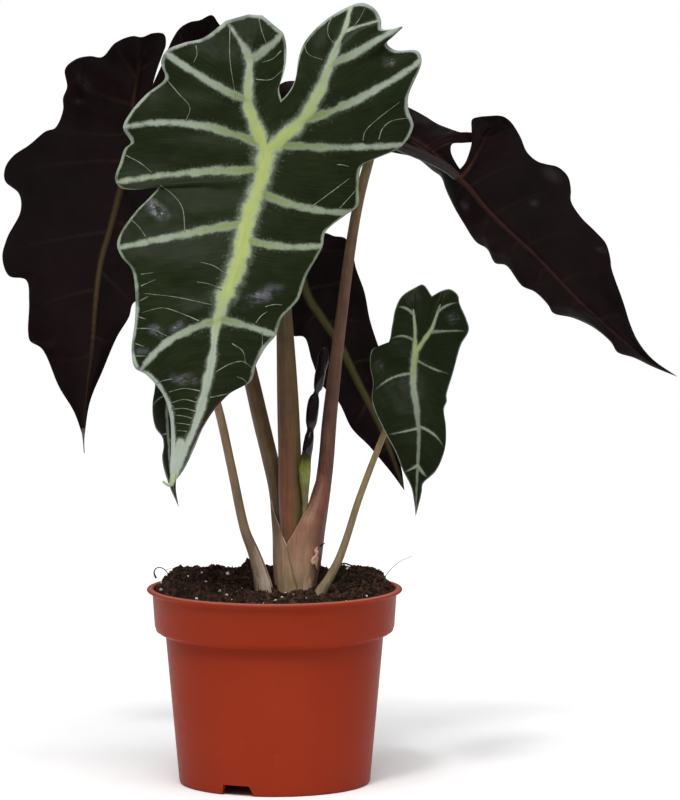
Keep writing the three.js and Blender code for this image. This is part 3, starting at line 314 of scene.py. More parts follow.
# The young leaf, rolled and still pinched where it came out of its sheath.
ROLLED_LEAF = [
    [304, 530, -4, 1.5], [304.8, 512, -5.6, 1.6], [305, 497, -7.2, 1.7], [304.8, 484, -8.2, 2.2],
    [304.6, 472, -8.4, 2.6], [305.2, 462, -8.2, 2.5], [306.8, 454, -7.6, 2.3], [308, 446, -7.2, 2.6],
    [309.3, 437, -6.4, 2.4], [310.4, 430, -6, 1.6], [311.2, 423, -5.7, 2.4], [312.6, 410, -5.2, 2.6],
    [314.2, 399, -4.9, 2.3], [316.4, 392.5, -4.7, 1.1], [318.2, 387, -4.6, 2.4], [319.8, 376, -4.5, 2.7],
    [321.4, 368, -4.5, 2.3], [322.4, 364, -4.5, 2.5], [323.8, 354, -4.5, 2.2], [325, 347, -4.5, 0.9],
]

# How each blade is drawn. Widths in pixels of the midrib along its length ("midrib"), of the lobe
# veins and side veins from foot to end ("lobe", "side"), and of further veins, each its stops and
# the widths at its ends ("more"). Along the midrib, how yellow ("glow") and how pale ("pale") it is.
# How much paleness the lobe veins lose ("lobe_fade") and side veins lose before the margin ("fade"),
# the width of the pale margin in mm ("margin") and the strength of all but the midrib ("bloom").
# A purple fold is its stops and width ("fold"). A glossy spot is its middle, half width and half
# height in pixels and its turn in degrees ("gloss"); on an upper face the pucker crests in it also
# get a painted grey-lilac highlight.
VEINING = {
    "blade_front": {
        "midrib": [(0, 22), (0.07, 20), (0.16, 19), (0.27, 19), (0.36, 20), (0.45, 17), (0.49, 14),
                   (0.53, 8), (0.57, 6.5), (0.62, 8.5), (0.7, 9), (0.8, 8), (0.88, 7), (0.95, 9), (1, 8)],
        "more": [([[338, 43], [345, 28], [351, 6]], (5, 4.6)),
                 ([[346, 31], [360, 26], [379, 20.5]], (3.4, 2.4)),
                 ([[133, 340], [133, 356], [138, 369], [149, 375]], (2.5, 6)),
                 ([[149, 375], [158, 386], [166, 400], [171, 418], [172, 432]], (6, 5)),
                 ([[171, 420], [173, 446], [174, 462], [174, 480]], (4, 9)),
                 ([[181, 442], [180, 448], [178, 456]], (8, 13)),
                 ([[178, 456], [176, 468], [172, 484]], (13, 9))],
        "fold": ([[230, 396], [217, 410], [206, 426], [198, 440]], 9),
        "lobe": (18, 8), "side": (10, 6.6), "glow": [(0, 1), (0.42, 1), (0.5, 0.5), (0.6, 0.1), (1, 0)],
        "gloss": [(156, 209, 17, 9, 42), (262, 296, 29, 10, -28), (185, 379, 18, 9, 4),
                  (157, 331, 12, 8, 30), (142, 351, 8, 7, 0), (178, 325, 14, 6, -35), (388, 62, 9, 7, 0)],
    },
    "blade_left": {
        "midrib": [(0, 8), (0.5, 6), (1, 3)], "lobe": (7, 5), "side": (5, 3.6), "lobe_fade": 0.85,
        "glow": [(0, 0.3), (0.3, 0.4), (0.5, 0.5), (0.8, 0.15), (1, 0.1)],
        "gloss": [(84, 82, 19, 8, 48), (79, 102, 8, 5, 0)],
        "pale": [(0, 0.5), (0.3, 0.8), (0.55, 0.8), (0.75, 0.4), (1, 0.25)],
    },
    "blade_right": {
        "midrib": [(0, 6), (0.2, 4.5), (0.5, 3.6), (1, 2.4)], "lobe": (6, 4), "side": (5, 3.6),
        "lobe_fade": 0.9, "pale": [(0, 0.7), (0.3, 0.52), (0.6, 0.38), (1, 0.25)],
        "gloss": [(552, 175, 15, 8, 40), (534, 203, 6, 5, 0), (602, 250, 9, 4, 15), (464, 205, 8, 5, 40)],
    },
    "blade_rear": {
        "midrib": [(0, 9), (0.5, 8), (1, 4)], "lobe": (4, 3), "side": (4, 3), "lobe_fade": 0.7,
        "glow": [(0, 1), (1, 0.8)], "pale": [(0, 0.85), (0.6, 0.75), (1, 0.5)],
    },
    "blade_small_right": {
        "midrib": [(0, 7), (0.15, 7), (0.4, 5), (0.7, 2.6), (1, 1.6)], "lobe": (5.5, 1.8),
        "side": (3.6, 1.6), "margin": 0.28, "fade": 0.95,
        "glow": [(0, 0.9), (0.08, 0.6), (0.2, 0.2), (1, 0.1)],
        "pale": [(0, 0.68), (0.2, 0.56), (0.4, 0.44), (0.7, 0.38), (1, 0.32)], "bloom": 0.6,
        "gloss": [(379, 368, 6, 9, 0), (452, 318, 9, 7, 0)],
    },
    "blade_small_left": {
        "midrib": [(0, 5), (0.5, 3), (0.8, 1.8), (1, 0.8)], "lobe": (4, 2.5), "side": (2.6, 1.2),
        "margin": 0.3, "fade": 0.6, "glow": [(0, 0.5), (0.5, 0.2), (1, 0)],
        "pale": [(0, 0.8), (0.7, 0.6), (0.85, 0.3), (1, 0)], "bloom": 0.6,
    },
}

# Thin veins of the front blade, by listed pixels from their foot to their end.
THIN_VEINS = [
    [[185, 232], [182, 207], [172, 194], [160, 185]], [[227, 275], [214, 266], [200, 262]], [[222, 290],
    [209, 284], [197, 282]], [[212, 305], [190, 300], [175, 297], [145, 293.5]], [[230, 25], [230, 60],
    [236, 98]], [[167, 80], [178, 93], [190, 108], [185, 122]], [[281, 51], [273, 58.7], [262, 62.5]],
    [[258.7, 18], [261.5, 30.3], [266.3, 43.6]], [[332.8, 16.5], [328, 26], [328.5, 36], [333.5, 42.5]],
    [[310.3, 35.5], [305.1, 43.4], [307.7, 53.7], [322.5, 59.8]], [[354.5, 26], [360, 18], [365, 8]],
    [[256, 79.5], [271, 79.5], [282.5, 70]], [[363, 140.4], [365, 131.7], [377, 119.6], [399.6, 102.2]],
    [[378.8, 139.5], [382.3, 129], [391, 121.3], [407.4, 118]], [[311.2, 207], [335.5, 189],
    [349.3, 178.5]], [[339.8, 208], [348, 199], [356, 190]], [[126, 155.5], [140.3, 163], [151.7, 172.5]],
    [[265.3, 306.8], [274, 304.5], [282.3, 305]], [[255.8, 323], [261, 316], [267.2, 311.5]],
    [[337.2, 164.6], [342, 164.8], [348.5, 166.4]], [[232, 343.6], [242.6, 351], [245.5, 362.6]],
    [[262, 332], [262, 346], [258, 352]], [[172, 379], [162, 381], [155, 385]], [[200, 391], [184, 388.5],
    [169, 392]], [[198.6, 403], [184, 399.5], [171, 403]], [[195.7, 411.5], [184, 408.5], [171, 409.5]],
    [[192.5, 418.5], [183, 416], [174, 415]], [[190, 425], [182, 423.5], [176, 423]], [[187, 431.5],
    [182, 431], [177, 430.5]], [[216, 371.8], [230, 364], [242.8, 361.5], [252, 368]], [[210, 397.5],
    [224, 394.6], [236, 391]], [[237, 377], [243, 379], [247, 383]], [[129, 218], [138, 226], [146, 237]],
    [[199, 321], [184, 314.5], [163, 308], [142, 312.5]], [[137, 328.5], [151, 329], [167, 336]],
    [[140, 301], [148, 296.5]], [[138.5, 317], [146, 319]], [[135.5, 343.6], [144, 346.5]], [[135.5, 356],
    [146, 356]], [[141, 274.5], [153.5, 272.6]], [[141, 286], [155.5, 279.6]], [[196, 45.5], [197, 55],
    [193.5, 62.5]],
]

# The blades' thin ends, with stops as for a stalk, but with depths counted from the blade.
DRIP_TIP = [[173.5, 474, 0, 1.5], [172.6, 480, -1, 1.4], [170.8, 485, -1.5, 1.1],
    [167, 484.6, -1.5, 0.8], [162.6, 481, -1.5, 0.4]]
DRY_TIP = [[83.2, 428, 0, 0.9], [83.4, 436, 0, 0.6], [83.7, 443, 0, 0.35], [84.2, 453, 0, 0.25]]

# Loose roots that stand out of the compost, with stops as for a stalk.
STRANDS = [
    [[170, 578, -2, 0.2], [166, 571, -3, 0.24], [161, 567.6, -4, 0.26], [156.5, 568, -4, 0.28],
    [154, 572, -4, 0.34], [156, 578, -3, 0.5]], [[338, 566, 12, 0.5], [343, 563.4, 12, 0.45],
    [349, 564.6, 12, 0.4], [354, 567.5, 12, 0.4], [358, 571, 12, 0.35]], [[342, 573, 8, 0.4],
    [347, 570, 8, 0.4], [353, 570.4, 8, 0.4], [360, 573, 8, 0.35]], [[384, 578, 4, 0.2],
    [391, 569, 3, 0.14], [400, 561.5, 2, 0.12], [412, 556, 1, 0.1]], [[320.5, 546.5, -6, 0.5],
    [322.8, 544, -6.5, 0.35], [325.2, 542.8, -6.5, 0.15]],
]


# ------------------------------------------------------------------ blades

QUILT_PIXELS = 60
QUILT_SHARE = 0.55
STEEPEST_FACING = 0.4
BEND_MM = 14
RIPPLE_PIXELS = 17
FAR_RATIO = 99.0
RIB_ROWS = (0, 1.1, 2.3, 3.7, 5.4, 7.5)


def smooth(low, high, x):
    part = np.clip((x - low) / (high - low), 0, 1)
    return part * part * (3 - 2 * part)


def through(stops, steps):
    """A centripetal curve through the stops, at evenly spaced places between its ends."""
    stops = np.asarray(stops, float)
    places = np.linspace(0, 1, steps + 1) * (len(stops) - 1)
    i = np.minimum(places.astype(int), len(stops) - 2)
    part = (places - i)[:, None]
    padded = np.vstack([2 * stops[0] - stops[1], stops, 2 * stops[-1] - stops[-2]])
    p0, p1, p2, p3 = (padded[i + k] for k in range(4))
    gaps = [np.sqrt(np.linalg.norm(b - a, axis=1))[:, None] for a, b in ((p0, p1), (p1, p2), (p2, p3))]
    gaps[1] = np.where(gaps[1] < 1e-4, 1, gaps[1])
    before, here, after = (np.where(g < 1e-4, gaps[1], g) for g in gaps)
    leave = ((p1 - p0) / before - (p2 - p0) / (before + here) + (p2 - p1) / here) * here
    reach = ((p2 - p1) / here - (p3 - p1) / (here + after) + (p3 - p2) / after) * here
    return (p1 + leave * part + (-3 * p1 + 3 * p2 - 2 * leave - reach) * part**2
            + (2 * p1 - 2 * p2 + leave + reach) * part**3)


class TracedCurve:
    """A smooth curve through hand-placed points, cut into short straight steps."""

    def __init__(self, stops):
        self.points = through(stops, len(stops) * 12)
        steps = np.linalg.norm(np.diff(self.points, axis=0), axis=1)
        self.lengths = np.concatenate([[0], np.cumsum(steps)])
        self.length = self.lengths[-1]

    def at(self, distance):
        return np.stack([np.interp(distance, self.lengths, self.points[:, k]) for k in (0, 1)], -1)

    def nearest(self, point, low=0, high=math.inf):
        gaps = np.linalg.norm(self.points - np.asarray(point, float), axis=1)
        gaps[(self.lengths < low - 1e-6) | (self.lengths > high + 1e-6)] = math.inf
        return self.lengths[np.argmin(gaps)]


class Half:
    """One half of a blade: its veins fan from the spine (out along the lobe vein, back to the
    stalk, down the midrib) to the margin (from the notch round the lobe to the tip)."""

    def __init__(self, blade, half, midrib):
        self.blade, self.half, self.midrib = blade, half, midrib
        self.margin = TracedCurve([blade["notch"], *half["edge"], blade["tip"]])
        self.lobe = TracedCurve([blade["stalk"], *half["lobeVein"]])
        self.lobe_tip = self.margin.nearest(half["lobeTip"])
        still = np.zeros(2)
        self.ties = [(0.0, 0.0, still)]
        self.veins = []
        for vein in half["inner"]:
            self.tie(vein, self.lobe.nearest(vein[0]), self.lobe_tip)
        self.ties.append((self.lobe.length, (self.ties[-1][1] + self.lobe_tip * 3) / 4, still))
        self.wrap = len(self.ties)
        first_outer = self.margin.nearest(half["outer"][0][2], self.lobe_tip)
        self.ties.append((self.lobe.length, (first_outer + self.lobe_tip * 3) / 4, still))
        for vein in half["outer"]:
            on_lobe, on_midrib = self.lobe.nearest(vein[0]), midrib.nearest(vein[0])
            lobe_gap = np.linalg.norm(self.lobe.at(on_lobe) - vein[0])
            midrib_gap = np.linalg.norm(midrib.at(on_midrib) - vein[0])
            spine = 2 * self.lobe.length + (-on_lobe if lobe_gap < midrib_gap else on_midrib)
            self.tie(vein, max(spine, self.ties[-1][0] + 0.5), self.margin.length)
        self.ties.append((2 * self.lobe.length + midrib.length, self.margin.length, still))

    def spine_point(self, spine):
        out = self.lobe.length
        spine = np.asarray(spine, float)
        on_lobe = self.lobe.at(np.where(spine <= out, spine, 2 * out - spine))
        return np.where((spine <= 2 * out)[..., None], on_lobe, self.midrib.at(spine - 2 * out))

    def tie(self, vein, spine, last):
        place = self.margin.nearest(vein[2], self.ties[-1][1], last)
        foot, rim = self.spine_point(spine), self.margin.at(place)
        chord = rim - foot
        middle = np.asarray(vein[1], float) - foot
        part = np.clip(middle @ chord / (chord @ chord), 0.25, 0.75)
        bow = (middle - chord * part) / (2 * part * (1 - part))
        self.ties.append((spine, place, bow))
        self.veins.append((foot, rim, bow, vein[3] if len(vein) > 3 else 1))

    def line_at(self, spine, outward):
        """The grid line from a place on the spine: spine, margin, bow, place in its bay, bay width."""
        first, last = (0, self.wrap - 1) if outward else (self.wrap, len(self.ties) - 1)
        reached = min(spine, self.lobe.length) if outward else spine
        i = first
        while i < last - 1 and self.ties[i + 1][0] < reached - 1e-6:
            i += 1
        a, b = self.ties[i], self.ties[i + 1]
        part = min(1, max(0, (reached - a[0]) / max(b[0] - a[0], 1e-6)))
        return (reached, a[1] + (b[1] - a[1]) * part, *(a[2] + (b[2] - a[2]) * part), part, b[1] - a[1])

    def lines(self, midrib_places, spacing):
        """Every grid line of the half as one row of numbers, from the notch round to the tip."""
        out = self.lobe.length
        ties = [t[0] if t[0] <= out else 2 * out - t[0] for t in self.ties if t[0] < 2 * out]
        places = filled([0, out, *ties], lambda a, b: max(
            self.line_at(b, True)[1] - self.line_at(a, True)[1],
            self.line_at(2 * out - a, False)[1] - self.line_at(2 * out - b, False)[1]) / spacing)
        made = [self.line_at(place, True) for place in places]
        start, end = self.ties[self.wrap - 1][1], self.ties[self.wrap][1]
        turns = max(2, round((end - start) / spacing))
        made += [(out, start + (end - start) * i / turns, 0, 0, i / turns, end - start)
                 for i in range(1, turns)]
        made += [self.line_at(2 * out - place, False) for place in reversed(places)]
        made += [self.line_at(2 * out + place, False) for place in midrib_places[1:]]
        return np.array(made, float)


def filled(places, parts_between):
    """The given places with others filled in evenly between them."""
    result = [min(places)]
    for place in sorted(places)[1:]:
        if place - result[-1] < 0.7:
            continue
        parts = max(1, round(parts_between(result[-1], place)))
        result += list(np.linspace(result[-1], place, parts + 1)[1:])
    result[-1] = max(places)
    return result


def blade_depth(blade, half, lines, pixels, along, reach):
    """Depth in mm of places on a blade, as the part's source gives it."""
    lie, stalk, tip = blade["lie"], np.array(blade["stalk"]), np.array(blade["tip"])
    down = tip - stalk
    length = np.linalg.norm(down) * MM_PER_PIXEL
    forward = (pixels - stalk) @ down / np.linalg.norm(down) * MM_PER_PIXEL
    bend = np.sqrt(forward**2 + BEND_MM**2)
    facing = -1 if blade["upperFaceToViewer"] else 1
    away = along * reach * MM_PER_PIXEL
    margin, bay, bay_width = lines[:, 1, None], lines[:, 4, None], lines[:, 5, None]
    opening = smooth(0, half.lobe_tip * 0.8, margin)
    closing = 1 - smooth(half.margin.length * 0.9, half.margin.length, margin)
    ridge = (np.sin(math.pi * np.minimum(1, along * 1.15)) * np.sin(math.pi * bay)**2
             * np.minimum(1, bay_width / QUILT_PIXELS))
    ripple = np.sin(margin / RIPPLE_PIXELS) * along**2
    return (lie["depth"] + lie["lean"] * (bend + forward) / 2 + lie["lobeLean"] * (bend - forward) / 2
            + lie["arch"] * np.sin(math.pi * np.clip(forward / length, 0, 1))**2
            + opening * (half.half["turn"] * away + half.half["curl"] * along**2 * closing)
            + opening * closing * (facing * lie["quilt"] * QUILT_SHARE * ridge + lie["wave"] * ripple))


def nearest_ratio(points, curve, half_widths):
    """For each point, how many half widths it lies from the nearest place of a curve."""
    best = np.full(len(points), FAR_RATIO)
    for start in range(0, len(points), 4000):
        part = points[start:start + 4000]
        gaps = np.linalg.norm(part[:, None] - curve[None], axis=2) / half_widths[None]
        best[start:start + 4000] = gaps.min(1)
    return best


def blade_sheet(name, spacing, rows):
    """The middle sheet of a blade: places in mm, faces, and what its veins need at each point."""
    blade, veining = BLADES[name], VEINING[name]
    midrib = TracedCurve([blade["stalk"], *blade["midrib"], blade["tip"]])
    halves = [Half(blade, blade[side], midrib) for side in ("left", "right")]
    ties = [t[0] - 2 * h.lobe.length for h in halves for t in h.ties if t[0] > 2 * h.lobe.length]
    places = filled([0, midrib.length, *ties], lambda a, b: max(b - a, *(
        h.line_at(2 * h.lobe.length + b, False)[1] - h.line_at(2 * h.lobe.length + a, False)[1]
        for h in halves)) / spacing)
    widths = np.array(veining["midrib"], float)
    glows = np.array(veining.get("glow", [(0, 0), (1, 0)]), float)
    midrib_steps = midrib.lengths / midrib.length
    found = []
    for side, half in enumerate(halves):
        lines = half.lines(places, spacing)
        foot, rim = half.spine_point(lines[:, 0]), half.margin.at(lines[:, 1])
        reach = np.linalg.norm(rim - foot, axis=1)[:, None]
        ribs = np.minimum(np.array(RIB_ROWS) / np.maximum(reach, 1e-6),
                          np.linspace(0, 0.4, len(RIB_ROWS)))
        outward = np.linspace(0, 1, rows - len(RIB_ROWS) + 2)[1:] ** 0.92
        along = np.hstack([ribs, ribs[:, -1:] + (1 - ribs[:, -1:]) * outward])
        pixels = (foot[:, None] * (1 - along[..., None]) + rim[:, None] * along[..., None]
                  + lines[:, None, 2:4] * (2 * along * (1 - along))[..., None])
        depth = blade_depth(blade, half, lines, pixels, along, reach)
        flat = pixels.reshape(-1, 2)
        lobe_steps = half.lobe.lengths / half.lobe.length
        rib = np.minimum(
            nearest_ratio(flat, midrib.points, np.interp(midrib_steps, *widths.T) / 2),
            nearest_ratio(flat, half.lobe.points, np.interp(lobe_steps, (0, 1), veining["lobe"]) / 2))
        for stops, width in veining.get("more", []):
            rib = np.minimum(rib, nearest_ratio(flat, through(stops, 30), np.linspace(*width, 31) / 2))
        t = np.linspace(0, 1, 40)[:, None]
        vein, strength = np.full(len(flat), FAR_RATIO), np.zeros(len(flat))
        for start, end, bow, drawn in half.veins:
            curve = start * (1 - t) + end * t + bow * 2 * t * (1 - t)
            near = nearest_ratio(flat, curve, np.interp(t[:, 0], (0, 1), veining["side"]) / 2)
            nearer = near < vein
            vein[nearer], strength[nearer] = near[nearer], drawn
        to_midrib = np.argmin(np.linalg.norm(flat[:, None] - midrib.points[None, ::4], axis=2), 1) * 4
        glow = np.interp(midrib_steps[np.minimum(to_midrib, len(midrib_steps) - 1)], *glows.T)
        on_lobe = np.linalg.norm(flat - blade["stalk"], axis=1) / half.lobe.length
        glow = np.where(to_midrib == 0, glow * (1 - 0.75 * smooth(0.1, 1, on_lobe)), glow)
        pale = np.array(veining.get("pale", [(0, 1), (1, 1)]), float)
        pale = np.interp(midrib_steps[np.minimum(to_midrib, len(midrib_steps) - 1)], *pale.T)
        pale *= np.where(to_midrib == 0, 1 - veining.get("lobe_fade", 0) * smooth(0.1, 0.9, on_lobe), 1)
        strength = strength * (1 - veining.get("fade", 0) * smooth(0.45, 1, along.ravel()))
        strength *= veining.get("bloom", 1)
        fold = np.full(len(flat), FAR_RATIO)
        if "fold" in veining:
            stops, width = veining["fold"]
            fold = nearest_ratio(flat, through(stops, 30), np.full(31, width / 2))
        edge = ((1 - along) * reach).ravel() * MM_PER_PIXEL / veining.get("margin", 1)
        spine_gap = (along * reach).ravel() * MM_PER_PIXEL
        index = np.arange(flat.shape[0]).reshape(along.shape)
        quads = np.stack([index[:-1, :-1], index[1:, :-1], index[1:, 1:], index[:-1, 1:]], -1)
        quads = quads.reshape(-1, 4)
        if side == 1:
            quads = quads[:, ::-1]
        tip_part = np.clip(1 - np.linalg.norm(flat - blade["stalk"], axis=1) / midrib.length, 0.1, 1)
        contour = np.repeat(lines[:, 1] * MM_PER_PIXEL, along.shape[1])
        found.append((flat, depth.ravel(), quads, rib, vein, strength, glow, edge, spine_gap, tip_part,
                      contour, pale, 1 - along.ravel(), fold))
    count = len(found[0][0])
    joined = [np.concatenate(parts) for parts in zip(*((f[0], f[1]) + f[3:] for f in found))]
    quads = np.vstack([found[0][2], found[1][2] + count])
    _, keep, back = np.unique(np.round(joined[0] * 50).astype(int), axis=0,
                              return_index=True, return_inverse=True)
    columns = [values[keep] for values in joined]
    return columns, np.ravel(back)[quads]


def sheet_normals(points, quads):
    a, b, c, d = (points[quads[:, k]] for k in range(4))
    face = np.cross(c - a, d - b)
    normals = np.zeros_like(points)
    for k in range(4):
        np.add.at(normals, quads[:, k], face)
    return normals / np.maximum(np.linalg.norm(normals, axis=1)[:, None], 1e-9)


def in_scene(name, data):
    """A new object with this data, in the scene's own collection."""
    made = bpy.data.objects.new(name, data)
    bpy.context.scene.collection.objects.link(made)
    return made


def applied(made):
    """The plain mesh that an object's modifiers give."""
    depsgraph = bpy.context.evaluated_depsgraph_get()
    return bpy.data.meshes.new_from_object(made.evaluated_get(depsgraph), depsgraph=depsgraph)


def mesh_from(bm, name):
    mesh = bpy.data.meshes.new(name)
    bm.to_mesh(mesh)
    bm.free()
    return mesh


def face_outward(mesh):
    bm = bmesh.new()
    bm.from_mesh(mesh)
    bmesh.ops.recalc_face_normals(bm, faces=bm.faces)
    bm.to_mesh(mesh)
    bm.free()


def band(a, b, count):
    """The faces between two closed rings of points, whose numbers start at a and at b."""
    return [(a + k, b + k, b + (k + 1) % count, a + (k + 1) % count) for k in range(count)]


def mesh_object(name, points, faces, materials, indices=None, smooth_faces=True):
    """A mesh object from points in mm. A face may be given with repeated corners."""
    mesh = bpy.data.meshes.new(name)
    tidy, kept = [], []
    for i, face in enumerate(faces):
        corners = list(dict.fromkeys(int(v) for v in face))
        if len(corners) > 2:
            tidy.append(corners)
            kept.append(i)
    mesh.from_pydata((np.asarray(points) * MM).tolist(), [], tidy)
    for material in materials:
        mesh.materials.append(material)
    if indices is not None:
        mesh.polygons.foreach_set("material_index", np.asarray(indices, np.int32)[kept])
    mesh.polygons.foreach_set("use_smooth", np.full(len(tidy), smooth_faces))
    mesh.update()
    return in_scene(name, mesh)


def put_attribute(made, name, values):
    attribute = made.data.attributes.new(name, "FLOAT", "POINT")
    attribute.data.foreach_set("value", np.asarray(values, np.float32))


def make_blade(name, leaf, upper, under):
    """One blade with both faces, its raised ribs underneath and a closed, rounded margin."""
    blade = BLADES[name]
    columns, quads = blade_sheet(name, leaf.grid_pixels, leaf.grid_rows)
    (pixels, depth, rib, vein, strength, glow, edge, spine_gap, tip_part, contour, pale, foot,
     fold) = columns
    middle = seen(pixels, depth)
    waves = np.array([noise.noise(Vector(p) / 9) + 0.5 * noise.noise(Vector(p) / 4) for p in middle])
    middle += (middle - EYE) / SIGHT_DISTANCE * (waves * leaf.unevenness / MM)[:, None]
    sight = (middle - EYE) / np.linalg.norm(middle - EYE, axis=1)[:, None]
    facing = np.abs((sheet_normals(middle, quads) * sight).sum(1))
    half = leaf.thickness / MM / 2 / np.maximum(facing, STEEPEST_FACING)
    half *= 0.45 + 0.55 * smooth(0, 0.8, edge)
    big = name in ("blade_front", "blade_left", "blade_right")
    rib_height, rib_width = (1.5, 1.5) if big else (0.8, 1.0)
    side_gap = vein * np.mean(VEINING[name]["side"]) / 2 * MM_PER_PIXEL
    relief = (rib_height * tip_part * np.sqrt(np.clip(1 - (spine_gap / rib_width) ** 2, 0, 1))
              + 0.4 * np.minimum(strength + 0.2, 1) * np.clip(1 - side_gap / 0.8, 0, 1) ** 1.5
              * smooth(0, 4, edge))
    under_nearest = not blade["upperFaceToViewer"]
    near = middle - sight * (half + (relief if under_nearest else 0))[:, None]
    far = middle + sight * (half + (0 if under_nearest else relief))[:, None]
    count = len(middle)
    used = {}
    for quad in quads:
        corners = list(dict.fromkeys(int(v) for v in quad))
        if len(corners) > 2:
            for a, b in zip(corners, corners[1:] + corners[:1]):
                used[(a, b)] = True
    open_edges = [(a, b) for a, b in used if (b, a) not in used]
    rim = [(a, count + a, count + b, b) for a, b in open_edges]
    faces = [*quads.tolist(), *(quads[:, ::-1] + count).tolist(), *rim]
    near_slot, far_slot = (1, 0) if under_nearest else (0, 1)
    indices = [far_slot] * len(quads) + [near_slot] * len(quads) + [0] * len(rim)
    made = mesh_object(f"leaf_{name}", np.vstack([far, near]), faces, [upper, under], indices)
    gloss = np.zeros(len(pixels))
    for x, y, across, up, turn in VEINING[name].get("gloss", []):
        turn, away = math.radians(turn), pixels - (x, y)
        gap = np.hypot((away[:, 0] * math.cos(turn) + away[:, 1] * math.sin(turn)) / across,
                       (away[:, 1] * math.cos(turn) - away[:, 0] * math.sin(turn)) / up)
        gloss = np.maximum(gloss, 1 - smooth(0.1, 1.1, gap))
    bloom = np.full(len(pixels), VEINING[name].get("bloom", 1))
    for key, values in (("rib", rib), ("vein", vein), ("strength", strength), ("glow", glow),
                        ("gloss", gloss), ("bloom", bloom), ("edge", edge), ("spine_gap", spine_gap),
                        ("contour", contour), ("pale", pale), ("foot", foot), ("fold", fold)):
        put_attribute(made, key, np.concatenate([values, values]))
    return made


# ------------------------------------------------------------------ node helpers

def linear(hex_colour):
    """An sRGB colour such as "#9c3a26" as the linear values that Blender mixes."""
    parts = [int(hex_colour[i:i + 2], 16) / 255 for i in (1, 3, 5)]
    return tuple(p / 12.92 if p <= 0.04045 else ((p + 0.055) / 1.055) ** 2.4 for p in parts)


def node(tree, kind, inputs=(), output=0, **settings):
    """Adds a node with its settings, values and links, and returns one of its outputs. Inputs come
    in order, or by number or name. A kind without the word Node is a shader node."""
    made = tree.nodes.new(kind if "Node" in kind else f"ShaderNode{kind}")
    for key, value in settings.items():
        setattr(made, key, value)
    for key, value in inputs.items() if isinstance(inputs, dict) else enumerate(inputs):
        if isinstance(value, bpy.types.NodeSocket):
            tree.links.new(value, made.inputs[key])
        else:
            if isinstance(value, str) and value.startswith("#"):
                value = (*linear(value), 1)
            made.inputs[key].default_value = value
    return made.outputs[output] if len(made.outputs) else made


# Settings that many nodes share.
PLUS, TIMES, TIMES_PLUS, SCALED = (
    {"operation": name} for name in ("ADD", "MULTIPLY", "MULTIPLY_ADD", "SCALE"))
EASED = {"interpolation_type": "SMOOTHSTEP"}
COLOURS = {"output": 2, "data_type": "RGBA"}


def new_material(name):
    material = bpy.data.materials.new(name)
    material.use_nodes = True
    material.node_tree.nodes.clear()
    return material, material.node_tree


def finish_material(tree, **inputs):
    """Ends a material in one Principled shader. Underscores in a name stand for spaces."""
    shader = node(tree, "BsdfPrincipled",
                  {key.replace("_", " "): value for key, value in inputs.items()})
    node(tree, "OutputMaterial", {"Surface": shader})


def per_metre(size_mm):
    """The scale of a pattern whose features are this many mm across."""
    return 1000 / size_mm


# ------------------------------------------------------------------ materials

